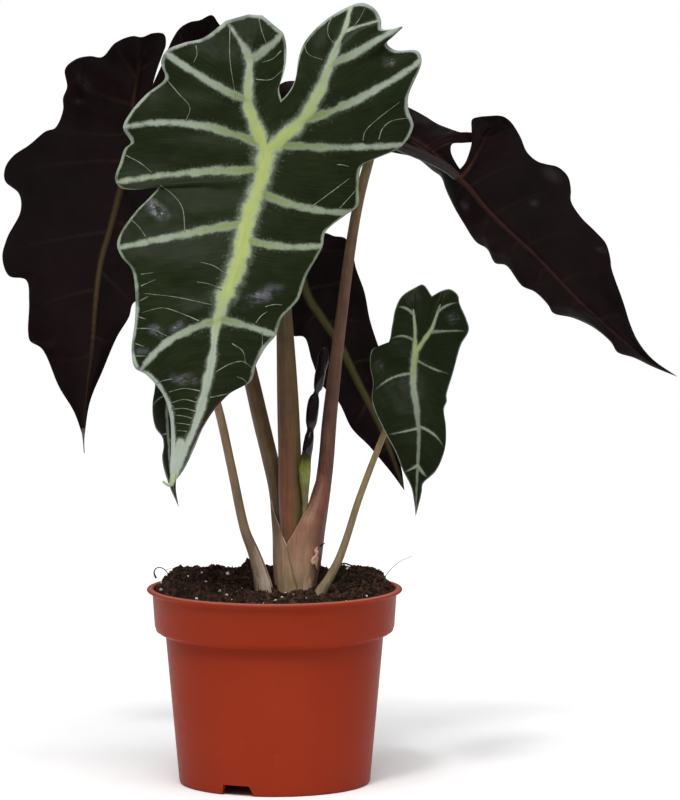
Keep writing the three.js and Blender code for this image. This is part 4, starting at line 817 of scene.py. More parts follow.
def leaf_upper_material(leaf):
    """Living leaf, upper face: a waxy cuticle grown over dark green cells. The eye gets a deep
    colour, a soft sheen with glints where the skin puckers, painted grey-lilac highlights on the
    pucker crests of the glossy spots, and pale grey-green veins that turn yellow-green near the
    stalk. Real cells and hairs are under 0.1 mm, so they are drawn coarser here, at 0.6 to 2.6 mm,
    to show."""
    material, tree = new_material("waxy_leaf_cuticle")
    add = partial(node, tree)
    place = add("TexCoord", output=3)
    patch = add("TexNoise", {"Vector": place, "Scale": per_metre(14), "Detail": 4.0})
    feather = add("TexNoise", {"Vector": place, "Scale": per_metre(1.2), "Detail": 3.0})
    swell = add("TexNoise", {"Vector": place, "Scale": per_metre(7), "Detail": 2.0})
    swell = add("MapRange", [swell, 0.3, 0.7, -0.28, 0.28])
    pucker = add("TexNoise", {"Vector": place, "Scale": per_metre(5), "Detail": 2.0})
    read = {key: add("Attribute", output=2, attribute_name=key)
            for key in ("rib", "vein", "strength", "glow", "edge", "contour", "spine_gap", "pale",
                        "foot", "fold", "gloss", "bloom")}

    def leaf_noise(along_margin, along_line):
        """Noise that follows the veins, by features to the mm along the margin and along a line."""
        along = add("Math", [read["contour"], along_margin], **TIMES)
        out = add("Math", [read["spine_gap"], along_line], **TIMES)
        across = add("CombineXYZ", [along, out])
        return add("TexNoise", {"Vector": across, "Scale": 1.0, "Detail": 3.0})

    def feathered(ratio, along_margin, along_line, reach):
        """The ratio with fine hairs that stand across the vein, and slow swells along it."""
        both = add("Math", [leaf_noise(along_margin, along_line), feather], **PLUS)
        shift = add("MapRange", [both, 0.6, 1.4, -reach, reach])
        return add("Math", [add("Math", [ratio, shift], **PLUS), swell], **PLUS)

    # The green ground, with grain along the veins, a purple fold and painted grey-lilac highlights
    # on the pucker crests of the glossy spots.
    grain = add("MapRange", [leaf_noise(1.1, 0.07), 0.3, 0.7, 0.78, 1.25])
    bloomed = add("Math", [read["bloom"], 0.7, 0.3], **TIMES_PLUS)
    grain = add("Math", [grain, bloomed], **TIMES)
    ground = add("Mix", {0: patch, 6: (*leaf.upper_dark, 1), 7: (*leaf.upper_light, 1)}, **COLOURS)
    ground = add("VectorMath", {0: ground, "Scale": grain}, **SCALED)
    folded = add("MapRange", [read["fold"], 1.2, 0.5, 0.0, 0.85], **EASED)
    ground = add("Mix", {0: folded, 6: ground, 7: "#4c2226"}, **COLOURS)
    # Painted highlight: the pucker crests inside the glossy spots are drawn grey-lilac.
    painted_glint = add("Math", [pucker, leaf_noise(0.8, 0.1)], **PLUS)
    painted_glint = add("MapRange", [painted_glint, 0.95, 1.15, 0.0, 0.5])
    painted_glint = add("Math", [painted_glint, read["gloss"]], **TIMES)
    ground = add("Mix", {0: painted_glint, 6: ground, 7: "#716e7a"}, **COLOURS)

    # How pale each place is drawn: by the midrib and lobe veins, the side veins, the hairs beside
    # both, a faint halo and the margin.
    rib = feathered(read["rib"], 1.1, 0.25, 0.16)
    rib_on = add("MapRange", [rib, 1.25, 0.6, 0.0, 1.0], **EASED)
    rib_on = add("Math", [rib_on, read["pale"]], **TIMES)
    vein = feathered(read["vein"], 0.6, 0.6, 0.17)
    vein_on = add("MapRange", [vein, 1.25, 0.35, 0.0, 0.95], **EASED)
    vein_on = add("Math", [vein_on, read["strength"]], **TIMES)
    rib_hair = add("MapRange", [feathered(read["rib"], 0.9, 0.12, 1.1), 1.6, 0.5, 0.0, 0.24], **EASED)
    palest = add("Math", [read["pale"], 2.0], operation="POWER")
    rib_hair = add("Math", [rib_hair, palest], **TIMES)
    vein_hair = add("MapRange", [feathered(read["vein"], 0.4, 0.9, 1.4), 1.7, 0.3, 0.0, 0.17], **EASED)
    near_foot = add("Math", [read["strength"], read["foot"]], **TIMES)
    vein_hair = add("Math", [vein_hair, near_foot], **TIMES)
    halo = add("Math", [read["rib"], swell], **PLUS)
    halo = add("MapRange", [halo, 1.6, 0.85, 0.0, 0.3], **EASED)
    halo = add("Math", [halo, read["pale"]], **TIMES)
    narrowed = add("Math", [read["glow"], 0.35, 1.0], **TIMES_PLUS)
    edge = add("Math", [read["edge"], narrowed], **TIMES)
    margin = add("MapRange", [feathered(edge, 0.6, 0.6, 0.3), 2.4, 0.9, 0.0, 0.95], **EASED)
    margin = add("Math", [margin, read["bloom"]], **TIMES)
    broken = add("MapRange", [patch, 0.6, 0.42, 0.0, 0.45], **EASED)
    broken = add("Math", [broken, 0.5], **PLUS)
    margin = add("Math", [margin, broken], **TIMES)
    pale = rib_on
    for other in (vein_on, rib_hair, vein_hair, halo, margin):
        pale = add("Math", [pale, other], operation="MAXIMUM")

    # Its colour: grey-green, greener in the core of a side vein near its foot, and yellow-green in
    # the core of the midrib.
    core = add("MapRange", [rib, 0.85, 0.3, 0.0, 1.0], **EASED)
    core = add("Math", [core, read["glow"]], **TIMES)
    foot = add("Math", [1.0, read["foot"]], operation="SUBTRACT")
    foot = add("MapRange", [foot, 0.7, 0.05, 0.0, 1.0], **EASED)
    foot = add("Math", [foot, read["strength"]], **TIMES)
    green = add("MapRange", [vein, 0.9, 0.15, 0.0, 0.9], **EASED)
    green = add("Math", [green, foot], **TIMES)
    glowing = add("MapRange", [read["glow"], -0.1, 0.6, 0.0, 1.0], **EASED)
    green = add("Math", [green, glowing], **TIMES)
    grey = add("Math", [margin, 0.4, 0.8], **TIMES_PLUS)
    grey = add("Math", [grey, read["glow"]], operation="SUBTRACT")
    streak = add("MapRange", [leaf_noise(0.05, 3.2), 0.3, 0.7, 0.86, 1.08])
    drawn = add("Mix", {0: grey, 6: (*leaf.vein, 1), 7: (*leaf.vein_grey, 1)}, **COLOURS)
    drawn = add("Mix", {0: green, 6: drawn, 7: (*leaf.vein_green, 1)}, **COLOURS)
    drawn = add("Mix", {0: core, 6: drawn, 7: (*leaf.vein_glow, 1)}, **COLOURS)
    drawn = add("VectorMath", {0: drawn, "Scale": streak}, **SCALED)
    colour = add("Mix", {0: pale, 6: ground, 7: drawn}, **COLOURS)

    cells = add("TexVoronoi", {"Vector": place, "Scale": per_metre(2.6)}, feature="SMOOTH_F1")
    fine = add("TexNoise", {"Vector": place, "Scale": per_metre(0.6), "Detail": 2.0})
    height = add("Math", [add("Math", [cells, fine], **PLUS), pale], **PLUS)
    bump = add("Bump", {"Strength": 0.2, "Distance": 0.0003, "Height": height})
    puckered = add("Bump",
                   {"Strength": read["gloss"], "Distance": 0.0024, "Height": pucker, "Normal": bump})
    rough = add("MapRange", [patch, 0.3, 0.7, 0.3, 0.42])
    coat = add("Math", [read["gloss"], 0.9], **TIMES)
    finish_material(tree, Base_Color=colour, Roughness=rough, Normal=bump, Coat_Weight=coat,
                    Coat_Roughness=0.3, Coat_Normal=puckered, Specular_IOR_Level=0.03)
    return material


def vein_material(leaf):
    """Living leaf vein: smooth skin stretched over a thin ridge. The eye gets a pale line with the
    green of the blade showing through in places."""
    material, tree = new_material("leaf_vein_skin")
    add = partial(node, tree)
    place = add("TexCoord", output=3)
    patch = add("TexNoise", {"Vector": place, "Scale": per_metre(3), "Detail": 3.0})
    part = add("MapRange", [patch, 0.35, 0.65, 0.25, 0.85])
    colour = add("Mix", {0: part, 6: (*leaf.upper_light, 1), 7: (*leaf.vein, 1)}, **COLOURS)
    finish_material(tree, Base_Color=colour, Roughness=0.4, Specular_IOR_Level=0.2)
    return material


def leaf_under_material(leaf):
    """Living leaf, under face: thin skin over purple-brown pigment, without the thick wax. The eye
    gets a dark satin with little gloss, and raised ribs that run from red-brown to olive. Its cells
    are drawn at 2.2 mm and its grain at 0.7 mm, coarser than the real ones, to show."""
    material, tree = new_material("satin_leaf_underside")
    add = partial(node, tree)
    place = add("TexCoord", output=3)
    patch = add("TexNoise", {"Vector": place, "Scale": per_metre(22), "Detail": 4.0})
    grain = add("TexNoise", {"Vector": place, "Scale": per_metre(0.7), "Detail": 3.0})
    read = {key: add("Attribute", output=2, attribute_name=key)
            for key in ("rib", "vein", "pale", "glow", "foot", "gloss")}
    part = add("MapRange", [patch, 0.3, 0.7])
    ground = add("Mix", {0: part, 6: (*leaf.under_dark, 1), 7: (*leaf.under_light, 1)}, **COLOURS)
    rib_on = add("MapRange", [read["rib"], 1.3, 0.3, 0.0, 1.0], **EASED)
    rib_on = add("Math", [rib_on, read["pale"]], **TIMES)
    vein_on = add("MapRange", [read["vein"], 1.3, 0.3, 0.0, 0.13], **EASED)
    vein_on = add("Math", [vein_on, read["foot"]], **TIMES)
    raised = add("Math", [rib_on, vein_on], operation="MAXIMUM")
    ridge = add("Mix", {0: read["glow"], 6: (*leaf.under_rib, 1), 7: (*leaf.under_rib_olive, 1)},
                **COLOURS)
    colour = add("Mix", {0: raised, 6: ground, 7: ridge}, **COLOURS)
    cells = add("TexVoronoi", {"Vector": place, "Scale": per_metre(2.2)}, feature="SMOOTH_F1")
    height = add("Math", [cells, grain], **PLUS)
    bump = add("Bump", {"Strength": 0.25, "Distance": 0.0003, "Height": height})
    rough = add("MapRange", [patch, 0.3, 0.7, 0.36, 0.5])
    pucker = add("TexNoise", {"Vector": place, "Scale": per_metre(5), "Detail": 3.0})
    puckered = add("Bump",
                   {"Strength": read["gloss"], "Distance": 0.0024, "Height": pucker, "Normal": bump})
    coat = add("Math", [read["gloss"], 0.3], **TIMES)
    finish_material(tree, Base_Color=colour, Roughness=rough, Normal=bump, Coat_Weight=coat,
                    Coat_Roughness=0.3, Coat_Normal=puckered, Specular_IOR_Level=0.05)
    return material


def height_at(pixel_y):
    """Height in metres of a place above the pot's axis, from where it lies up the picture."""
    return float(seen((POT_AXIS_PIXEL, pixel_y), 0)[2]) * MM


def height_ramp(tree, place, stops):
    """A colour that changes with height: stops are (how far down the picture, colour)."""
    up = node(tree, "SeparateXYZ", [place], 2)
    low, high = height_at(stops[-1][0]), height_at(stops[0][0])
    part = node(tree, "MapRange", [up, low, high])
    colour = node(tree, "ValToRGB", [part])
    ramp = colour.node.color_ramp
    while len(ramp.elements) < len(stops):
        ramp.elements.new(0.5)
    for element, (pixel_y, tone) in zip(ramp.elements, reversed(stops)):
        element.position = (height_at(pixel_y) - low) / (high - low)
        element.color = (*linear(tone), 1)
    return colour


def stem_material(name, stops, streak_mm=1.1, gloss=0.22, rough=(0.36, 0.52), contrast=(0.66, 1.3),
                  beyond=None, margin=None):
    """Living leaf stalk: smooth skin grown over wet flesh, marked by long cells that run up it. The
    eye gets a low sheen with fine streaks and flecks, drawn at 0.5 to 1.1 mm, coarser than the real
    cells, to show. The colour changes with height, takes another tone beyond a line across the
    picture, and pales at a free margin."""
    material, tree = new_material(name)
    add = partial(node, tree)
    place = add("TexCoord", output=3)
    stretched = add("Mapping", {"Vector": place, "Scale": (1, 1, 0.06)})
    streaks = add("TexNoise", {"Vector": stretched, "Scale": per_metre(streak_mm), "Detail": 5.0})
    patch = add("TexNoise", {"Vector": place, "Scale": per_metre(9), "Detail": 4.0})
    flecks = add("TexNoise", {"Vector": place, "Scale": per_metre(0.8), "Detail": 3.0})
    mixed = add("Math", [streaks, patch], **PLUS)
    mixed = add("Math", [flecks, 0.4, mixed], **TIMES_PLUS)
    tone = add("MapRange", [mixed, 0.85, 1.55, contrast[0], contrast[1]])
    ground = height_ramp(tree, place, stops)
    if beyond:
        pixel_x, tone_there, softness = beyond
        across = add("SeparateXYZ", [place])
        line = (pixel_x - POT_AXIS_PIXEL) * MM_PER_PIXEL * MM
        past = add("MapRange", [across, line - softness * MM, line + softness * MM])
        ground = add("Mix", {0: past, 6: ground, 7: tone_there}, **COLOURS)
    if margin:
        gap = add("Attribute", output=2, attribute_name="edge")
        near = add("MapRange", [gap, 0.9, 0.1, 0.0, 0.75])
        ground = add("Mix", {0: near, 6: ground, 7: margin}, **COLOURS)
    colour = add("VectorMath", {0: ground, "Scale": tone}, **SCALED)
    bump = add("Bump", {"Strength": 0.35, "Distance": 0.0003, "Height": streaks})
    rough = add("MapRange", [patch, 0.3, 0.7, rough[0], rough[1]])
    finish_material(tree, Base_Color=colour, Roughness=rough, Normal=bump, Specular_IOR_Level=gloss)
    return material


def pot_material(pot):
    """Polypropylene, coloured like terracotta and injection moulded in a fine-grained mould. The eye
    gets an even, warm satin with faint flow marks and a little dust, with a painted highlight along
    the top of the rim and painted shade inside the lip. The mould's grain is drawn at 0.35 mm,
    coarser than real, to show."""
    material, tree = new_material("moulded_polypropylene")
    add = partial(node, tree)
    place = add("TexCoord", output=3)
    patch = add("TexNoise", {"Vector": place, "Scale": per_metre(30), "Detail": 5.0})
    grain = add("TexNoise", {"Vector": place, "Scale": per_metre(0.35), "Detail": 2.0})
    scuffs = add("TexNoise", {"Vector": place, "Scale": per_metre(4), "Detail": 6.0, "Roughness": 0.7})
    colour = add("Mix", {0: patch, 6: (*pot.colour_dark, 1), 7: (*pot.colour, 1)}, **COLOURS)
    dust = add("MapRange", [scuffs, 0.62, 0.84, 0.0, 0.14])
    colour = add("Mix", {0: dust, 6: colour, 7: "#b98a72"}, **COLOURS)
    up = add("SeparateXYZ", [place], 2)
    # Painted highlight: the top 0.6 mm of the rim is drawn paler.
    painted_rim_highlight = add("MapRange", [up, (POT["height"] - 0.6) * MM, POT["height"] * MM, 0.0, 0.3])
    colour = add("Mix", {0: painted_rim_highlight, 6: colour, 7: "#c49a8a"}, **COLOURS)
    # Painted shade: the inner face of the wall just below the lip is drawn dark red-brown.
    level = add("VectorMath", [place, (1, 1, 0)], **TIMES)
    out = add("VectorMath", [level], 1, operation="LENGTH")
    inner = POT["collar_top_radius"]
    painted_inner_shade = add("MapRange", [out, (inner - 0.5) * MM, (inner - 1.6) * MM, 0.0, 0.85])
    high = (POT["height"] - POT["lip_height"] - 0.5) * MM
    high = add("Math", [up, high], operation="GREATER_THAN")
    painted_inner_shade = add("Math", [painted_inner_shade, high], **TIMES)
    colour = add("Mix", {0: painted_inner_shade, 6: colour, 7: "#3a120a"}, **COLOURS)
    rough = add("MapRange", [scuffs, 0.35, 0.75, 0.36, 0.52])
    bump = add("Bump", {"Strength": 0.12, "Distance": 0.0002, "Height": grain})
    finish_material(tree, Base_Color=colour, Roughness=rough, Normal=bump, Specular_IOR_Level=0.05)
    return material


def soil_material(name, dark, light, size_mm=1.2):
    """Peat compost, milled and moist, or what lies in it. The eye gets matt, dark crumbs that shade
    each other, each of its own tone, with a rough surface that hardly shines."""
    material, tree = new_material(name)
    add = partial(node, tree)
    place = add("TexCoord", output=3)
    crumbs = add("TexNoise",
                 {"Vector": place, "Scale": per_metre(size_mm), "Detail": 6.0, "Roughness": 0.7})
    tint = add("Attribute", output=2, attribute_name="tint")
    mixed = add("Math", [tint, 0.7, crumbs], **TIMES_PLUS)
    mixed = add("MapRange", [mixed, 0.35, 1.15, 0.0, 1.0])
    colour = add("Mix", {0: mixed, 6: dark, 7: light}, **COLOURS)
    bump = add("Bump", {"Strength": 0.7, "Distance": 0.0006, "Height": crumbs})
    finish_material(tree, Base_Color=colour, Roughness=0.92, Normal=bump, Specular_IOR_Level=0.2)
    return material


# ------------------------------------------------------------------ node trees that grow pieces

def new_tree(name, **inputs):
    """A Geometry Nodes tree with named inputs, each given by its socket type or its default."""
    tree = bpy.data.node_groups.new(name, "GeometryNodeTree")
    tree.interface.new_socket("Geometry", in_out="INPUT", socket_type="NodeSocketGeometry")
    tree.interface.new_socket("Geometry", in_out="OUTPUT", socket_type="NodeSocketGeometry")
    for key, value in inputs.items():
        kind = value if isinstance(value, str) else (
            "NodeSocketInt" if isinstance(value, int) else "NodeSocketFloat")
        socket = tree.interface.new_socket(key.replace("_", " "), in_out="INPUT", socket_type=kind)
        if not isinstance(value, str):
            socket.default_value = value
    given = tree.nodes.new("NodeGroupInput")
    return tree, given.outputs


def grown(name, carrier, tree, **values):
    """Runs a node tree on a carrier and keeps the result as a plain mesh object."""
    modifier = carrier.modifiers.new(tree.name, "NODES")
    modifier.node_group = tree
    for socket in tree.interface.items_tree:
        key = socket.name.replace(" ", "_")
        if socket.in_out == "INPUT" and key in values:
            modifier[socket.identifier] = values[key]
    mesh = applied(carrier)
    mesh.name = name
    bpy.data.objects.remove(carrier)
    return in_scene(name, mesh)


def stem_tree():
    """A stem swept along a path, with its radius at each point and fine ribs along it. It is made
    once, and every stem, root and vein uses it."""
    if "Stem" in bpy.data.node_groups:
        return bpy.data.node_groups["Stem"]
    tree, given = new_tree("Stem", Ribs=9, Rib_Depth=0.03, Sides=36, Step=0.0015,
                           Material="NodeSocketMaterial")
    add = partial(node, tree)
    path = add("GeometryNodeResampleCurve", {"Curve": given["Geometry"], "Length": given["Step"]},
               mode="LENGTH")
    circle = add("GeometryNodeCurvePrimitiveCircle", {"Resolution": given["Sides"], "Radius": 1.0})
    index = add("GeometryNodeInputIndex")
    turn = add("Math", [index, given["Sides"]], operation="DIVIDE")
    turn = add("Math", [turn, given["Ribs"]], **TIMES)
    turn = add("Math", [turn, 2 * math.pi], **TIMES)
    wave = add("Math", [turn], operation="SINE")
    wave = add("Math", [wave, given["Rib Depth"]], **TIMES)
    outward = add("GeometryNodeInputPosition")
    offset = add("VectorMath", {0: outward, "Scale": wave}, **SCALED)
    ribbed = add("GeometryNodeSetPosition", {"Geometry": circle, "Offset": offset})
    radius = add("GeometryNodeInputRadius")
    swept = add("GeometryNodeCurveToMesh",
                {"Curve": path, "Profile Curve": ribbed, "Scale": radius, "Fill Caps": True})
    shaded = add("GeometryNodeSetShadeSmooth", {"Geometry": swept})
    real = add("GeometryNodeRealizeInstances", {"Geometry": shaded})
    add("NodeGroupOutput",
        {"Geometry": add("GeometryNodeSetMaterial", {"Geometry": real, "Material": given["Material"]})})
    return tree


def scatter_tree():
    """Copies of the shapes in a collection, strewn over a surface at random turns and sizes."""
    tree, given = new_tree("Strewn", Shapes="NodeSocketCollection", Density=100000.0, Spacing=0.0004,
                           Smallest=0.5, Largest=1.5, Sink=0.0, Seed=1, Material="NodeSocketMaterial")
    add = partial(node, tree)
    points = tree.nodes.new("GeometryNodeDistributePointsOnFaces")
    points.distribute_method = "POISSON"
    tree.links.new(given["Geometry"], points.inputs["Mesh"])
    tree.links.new(given["Spacing"], points.inputs["Distance Min"])
    tree.links.new(given["Density"], points.inputs["Density Max"])
    tree.links.new(given["Seed"], points.inputs["Seed"])
    down = add("VectorMath", {0: points.outputs["Normal"], "Scale": given["Sink"]}, **SCALED)
    sunk = add("GeometryNodeSetPosition", {"Geometry": points.outputs["Points"], "Offset": down})
    shapes = add("GeometryNodeCollectionInfo",
                 {"Collection": given["Shapes"], "Separate Children": True, "Reset Children": True})
    spin = add("FunctionNodeRandomValue", {0: (0, 0, 0), 1: (6.28, 6.28, 6.28), "Seed": given["Seed"]},
               data_type="FLOAT_VECTOR")
    size = add("FunctionNodeRandomValue",
               {2: given["Smallest"], 3: given["Largest"], "Seed": given["Seed"]}, 1, data_type="FLOAT")
    placed = add("GeometryNodeInstanceOnPoints", {
        "Points": sunk, "Instance": shapes, "Pick Instance": True, "Rotation": spin, "Scale": size})
    tint = add("FunctionNodeRandomValue", {2: 0.0, 3: 1.0, "Seed": 9}, 1, data_type="FLOAT")
    tinted = add("GeometryNodeStoreNamedAttribute", {"Geometry": placed, "Name": "tint", "Value": tint},
                 data_type="FLOAT", domain="INSTANCE")
    real = add("GeometryNodeRealizeInstances", {"Geometry": tinted})
    add("NodeGroupOutput",
        {"Geometry": add("GeometryNodeSetMaterial", {"Geometry": real, "Material": given["Material"]})})
    return tree


def path_object(name, paths):
    """A curve for stems to follow: each path is places in mm, a radius in mm at each, and the
    angle that it has turned through by its end."""
    curve = bpy.data.curves.new(name, "CURVE")
    curve.dimensions = "3D"
    for places, radii, twist in paths:
        line = curve.splines.new("POLY")
        line.points.add(len(places) - 1)
        line.points.foreach_set("co", np.hstack([places * MM, np.ones((len(places), 1))]).ravel())
        line.points.foreach_set("radius", np.asarray(radii) * MM)
        line.points.foreach_set("tilt", np.linspace(0, twist, len(places)))
    return in_scene(name, curve)


def stem_places(stops, steps=80):
    """The middle line of a stem in mm and its radius, through its stops."""
    stops = np.asarray(stops, float)
    places = through(seen(stops[:, :2], stops[:, 2]), steps)
    radii = through(np.stack([np.arange(len(stops)), stops[:, 3]], 1), steps)[:, 1]
    return places, radii


def grow_stem(name, stops, material, ribs=9, depth=0.02, twist=0.0, steps=80):
    places, radii = stem_places(stops, steps)
    return grown(name, path_object(f"{name}_path", [(places, radii, twist)]), stem_tree(),
                 Material=material, Ribs=ribs, Rib_Depth=depth)


def laid_on(made, pixels, lift=0.06):
    """Places in mm on the near side of a piece, along the lines of sight through pixels."""
    surface = BVHTree.FromObject(made, bpy.context.evaluated_depsgraph_get())
    places = []
    for pixel in pixels:
        ray = seen(pixel, 0) - EYE
        ray /= np.linalg.norm(ray)
        hit = surface.ray_cast(Vector(EYE * MM), Vector(ray))[0]
        if hit is not None:
            places.append(np.array(hit) / MM - ray * lift)
    return np.array(places).reshape(-1, 3)


def lay_veins(name, blade, veins, radius, material):
    """Fine raised veins that follow a blade's face, each thinning out to its end."""
    paths = []
    for stops in veins:
        length = TracedCurve(stops).length
        places = laid_on(blade, through(stops, max(6, int(length / 2))))
        if len(places) > 2:
            paths.append((places, radius * np.linspace(1, 0.45, len(places)), 0.0))
    return grown(name, path_object(f"{name}_paths", paths), stem_tree(), Material=material, Ribs=1,
                 Rib_Depth=0.0, Sides=5, Step=0.0012)


# ------------------------------------------------------------------ pot, soil and crown

def wall_radius(height):
    part = (height - 1.5) / (POT["collar_foot"] - 1.5)
    return POT["base_radius"] + (POT["wall_top_radius"] - POT["base_radius"]) * part


def pot_profile():
    rim, height, lip = POT["rim_radius"], POT["height"], POT["lip_height"]
    top, foot, collar = POT["collar_top_radius"], POT["collar_foot_radius"], POT["collar_foot"]
    base, wall, floor = POT["base_radius"], POT["wall"], POT["floor_top"]
    channel, pad, ring = POT["channel_height"], POT["pad_radius"], POT["foot_width"]

    def inside(z):
        return wall_radius(z) - wall

    return [
        (0, 0), (pad, 0), (pad + 1.5, channel), (base - ring - 1.5, channel), (base - ring - 0.6, 0.3),
        (base - ring, 0), (base - 1, 0), (base - 0.3, 0.4), (base, 1.5), (wall_radius(36), 36),
        (wall_radius(collar - 2.5), collar - 2.5), (wall_radius(collar) + 2.4, collar - 1.2),
        (foot - 0.7, collar), (foot, collar + 2.2), (top - 0.7, height - lip - 1),
        (top - 0.2, height - lip),
        (rim - 1.2, height - lip + 0.5), (rim - 0.3, height - lip + 1), (rim, height - 0.9),
        (rim - 0.3, height - 0.4), (rim - 1, height - 0.2), (top - 0.6, height),
        (top - wall, height - 0.7),
        (top - wall - 0.5, height - lip - 0.6), (foot - wall, collar + 2), (inside(collar), collar - 0.5),
        (inside(collar - 3), collar - 3), (inside(floor + 1.5), floor + 1.5),
        (inside(floor) - 1.5, floor), (pad, floor), (pad - 1.5, wall), (0, wall),
    ]


def lathe(name, profile, sides, material):
    """A closed body turned round the vertical axis from (radius, height) pairs in mm."""
    bm = bmesh.new()
    rings = []
    for radius, height in profile:
        turn = 1 if radius == 0 else sides
        rings.append([bm.verts.new((radius * MM * math.cos(2 * math.pi * k / sides),
                                    radius * MM * math.sin(2 * math.pi * k / sides), height * MM))
                      for k in range(turn)])
    for low, high in zip(rings, rings[1:]):
        for k in range(sides):
            corners = [low[k % len(low)], low[(k + 1) % len(low)],
                       high[(k + 1) % len(high)], high[k % len(high)]]
            corners = list(dict.fromkeys(corners))
            if len(corners) > 2:
                bm.faces.new(corners)
    bmesh.ops.recalc_face_normals(bm, faces=bm.faces)
    mesh = mesh_from(bm, name)
    mesh.materials.append(material)
    mesh.shade_smooth()
    mesh.set_sharp_from_angle(angle=math.radians(32))
    return in_scene(name, mesh)


def cut(body, cutters):
    """Cuts other bodies out of a body and removes them."""
    for cutter in cutters:
        modifier = body.modifiers.new("cut", "BOOLEAN")
        modifier.operation, modifier.object, modifier.solver = "DIFFERENCE", cutter, "EXACT"
        bpy.context.view_layer.update()
        mesh = applied(body)
        body.modifiers.remove(modifier)
        body.data = mesh
        bpy.data.objects.remove(cutter)


def soil_height(x, y, edge):
    out = np.minimum(np.hypot(x, y) / edge, 1)
    mound = (SOIL["mound"] * (1 - out**2.2)
             + SOIL["back_rise"] * smooth(-0.2, 0.75, y / edge) * (1 - out**6))
    lumps = np.sin(x / 5.1 + 1.3) * np.cos(y / 4.3 - 0.4) + 0.6 * np.sin(x / 2.9 - y / 3.4)
    heaped = (HEAPED["edge"] * smooth(0.4, 0.9, out) + HEAPED["back"] * smooth(0.1, 0.7, y / edge)
              + HEAPED["sides"] * smooth(0.55, 0.85, np.abs(x) / edge) * smooth(-0.45, 0.1, y / edge)
              * (1 - smooth(0.93, 1, out)))
    return SOIL["edge_height"] + mound + heaped + SOIL["lumps"] * lumps * (1 - smooth(0.85, 1, out))


def soil_body(material, rings=70, sides=280):
    """The compost as a closed body: a rough mound with a skirt that goes down inside the pot."""
    edge = POT["collar_foot_radius"] - POT["wall"] - SOIL["clearance"] + 1
    radii = np.linspace(0, edge, rings + 1)[1:]
    turns = np.arange(sides) * 2 * math.pi / sides
    x = np.concatenate([[0], np.outer(radii, np.cos(turns)).ravel()])
    y = np.concatenate([[0], np.outer(radii, np.sin(turns)).ravel()])
    rough = np.array([noise.turbulence(Vector((a, b, 0)) / 7, 5, False) for a, b in zip(x, y)])
    inward = 1 - smooth(0.96, 1, np.hypot(x, y) / edge)
    z = soil_height(x, y, edge) + (rough - 0.6) * HEAPED["clods"] * inward
    points = [*zip(x, y, z)]
    faces = [(0, 1 + k, 1 + (k + 1) % sides) for k in range(sides)]
    for ring in range(rings - 1):
        faces += band(1 + ring * sides, 1 + (ring + 1) * sides, sides)
    top = 1 + (rings - 1) * sides
    below = len(points)
    low = wall_radius(POT["collar_foot"]) - POT["wall"] - SOIL["clearance"] - 0.2
    points += [(low * math.cos(t), low * math.sin(t), POT["collar_foot"]) for t in turns]
    points.append((0, 0, POT["collar_foot"]))
    faces += band(top, below, sides)
    faces += [(below + k, below + sides, below + (k + 1) % sides) for k in range(sides)]
    return mesh_object("soil_mound", points, faces, [material])


def lump(name, seed, flatness=1.0, length=1.0, size=0.5, roughness=0.6):
    """A small rough crumb, about a mm across, for the compost."""
    bm = bmesh.new()
    bmesh.ops.create_icosphere(bm, subdivisions=1, radius=size * MM)
    for vertex in bm.verts:
        shift = noise.noise_vector(vertex.co / MM * 2.3 + Vector((seed * 7.3, seed * 3.1, seed)))
        vertex.co += shift * roughness * size * MM
        vertex.co.z *= flatness
        vertex.co.x *= length
    return bpy.data.objects.new(name, mesh_from(bm, name))


def fibre(name, seed, length=6.0, radius=0.09):
    """A bent thread of dry root or peat, as a thin three-sided tube with its middle at the origin."""
    t = np.linspace(-0.5, 0.5, 7)
    wander = np.array([noise.noise_vector(Vector((seed * 5.1, k * 1.3, seed))) for k in t])
    middle = np.stack([t * length, np.zeros(7), np.zeros(7)], 1) + wander * length * 0.28
    turns = np.arange(3) * 2 * math.pi / 3
    ring = np.stack([np.zeros(3), np.cos(turns), np.sin(turns)], 1) * radius
    points = (middle[:, None] + ring[None]).reshape(-1, 3)
    faces = [(3 * i + k, 3 * i + (k + 1) % 3, 3 * i + 3 + (k + 1) % 3, 3 * i + 3 + k)
             for i in range(6) for k in range(3)] + [(0, 2, 1), (18, 19, 20)]
    made = mesh_object(name, points, faces, [])
    bpy.context.scene.collection.objects.unlink(made)
    return made


# The core of the crown: each stop is [pixel x, pixel y, depth in mm, radius in mm].
CROWN_CORE = [
    [[291, 640, 3, 5], [289, 612, 3, 6.2], [288, 590, 3, 6.1], [286.5, 570, 3.5, 5.8], [285, 555, 4, 5.2],
    [283, 540, 4.6, 4.2]], [[300, 640, 0, 5], [300.5, 612, -1, 6], [301.8, 590, -2, 5.6],
    [304.5, 575, -2.5, 5.4], [307, 560, -2.5, 5.2], [311, 545, -2, 4.4]], [[296, 640, 1, 5],
    [296, 612, 0, 6.5], [295.5, 590, -1, 6.5], [294.5, 570, -2, 6.3], [293.5, 552, -2.7, 5.6]],
    [[296, 640, 3, 4], [296, 600, 6, 5.6], [296, 570, 8, 5.2], [295.5, 550, 10, 4.4],
    [294.6, 536, 11.7, 3.5]], [[302, 620, -2, 5], [302.5, 590, -4, 5.2], [303, 560, -7, 3.8],
    [303, 535, -8, 2.4]],
]

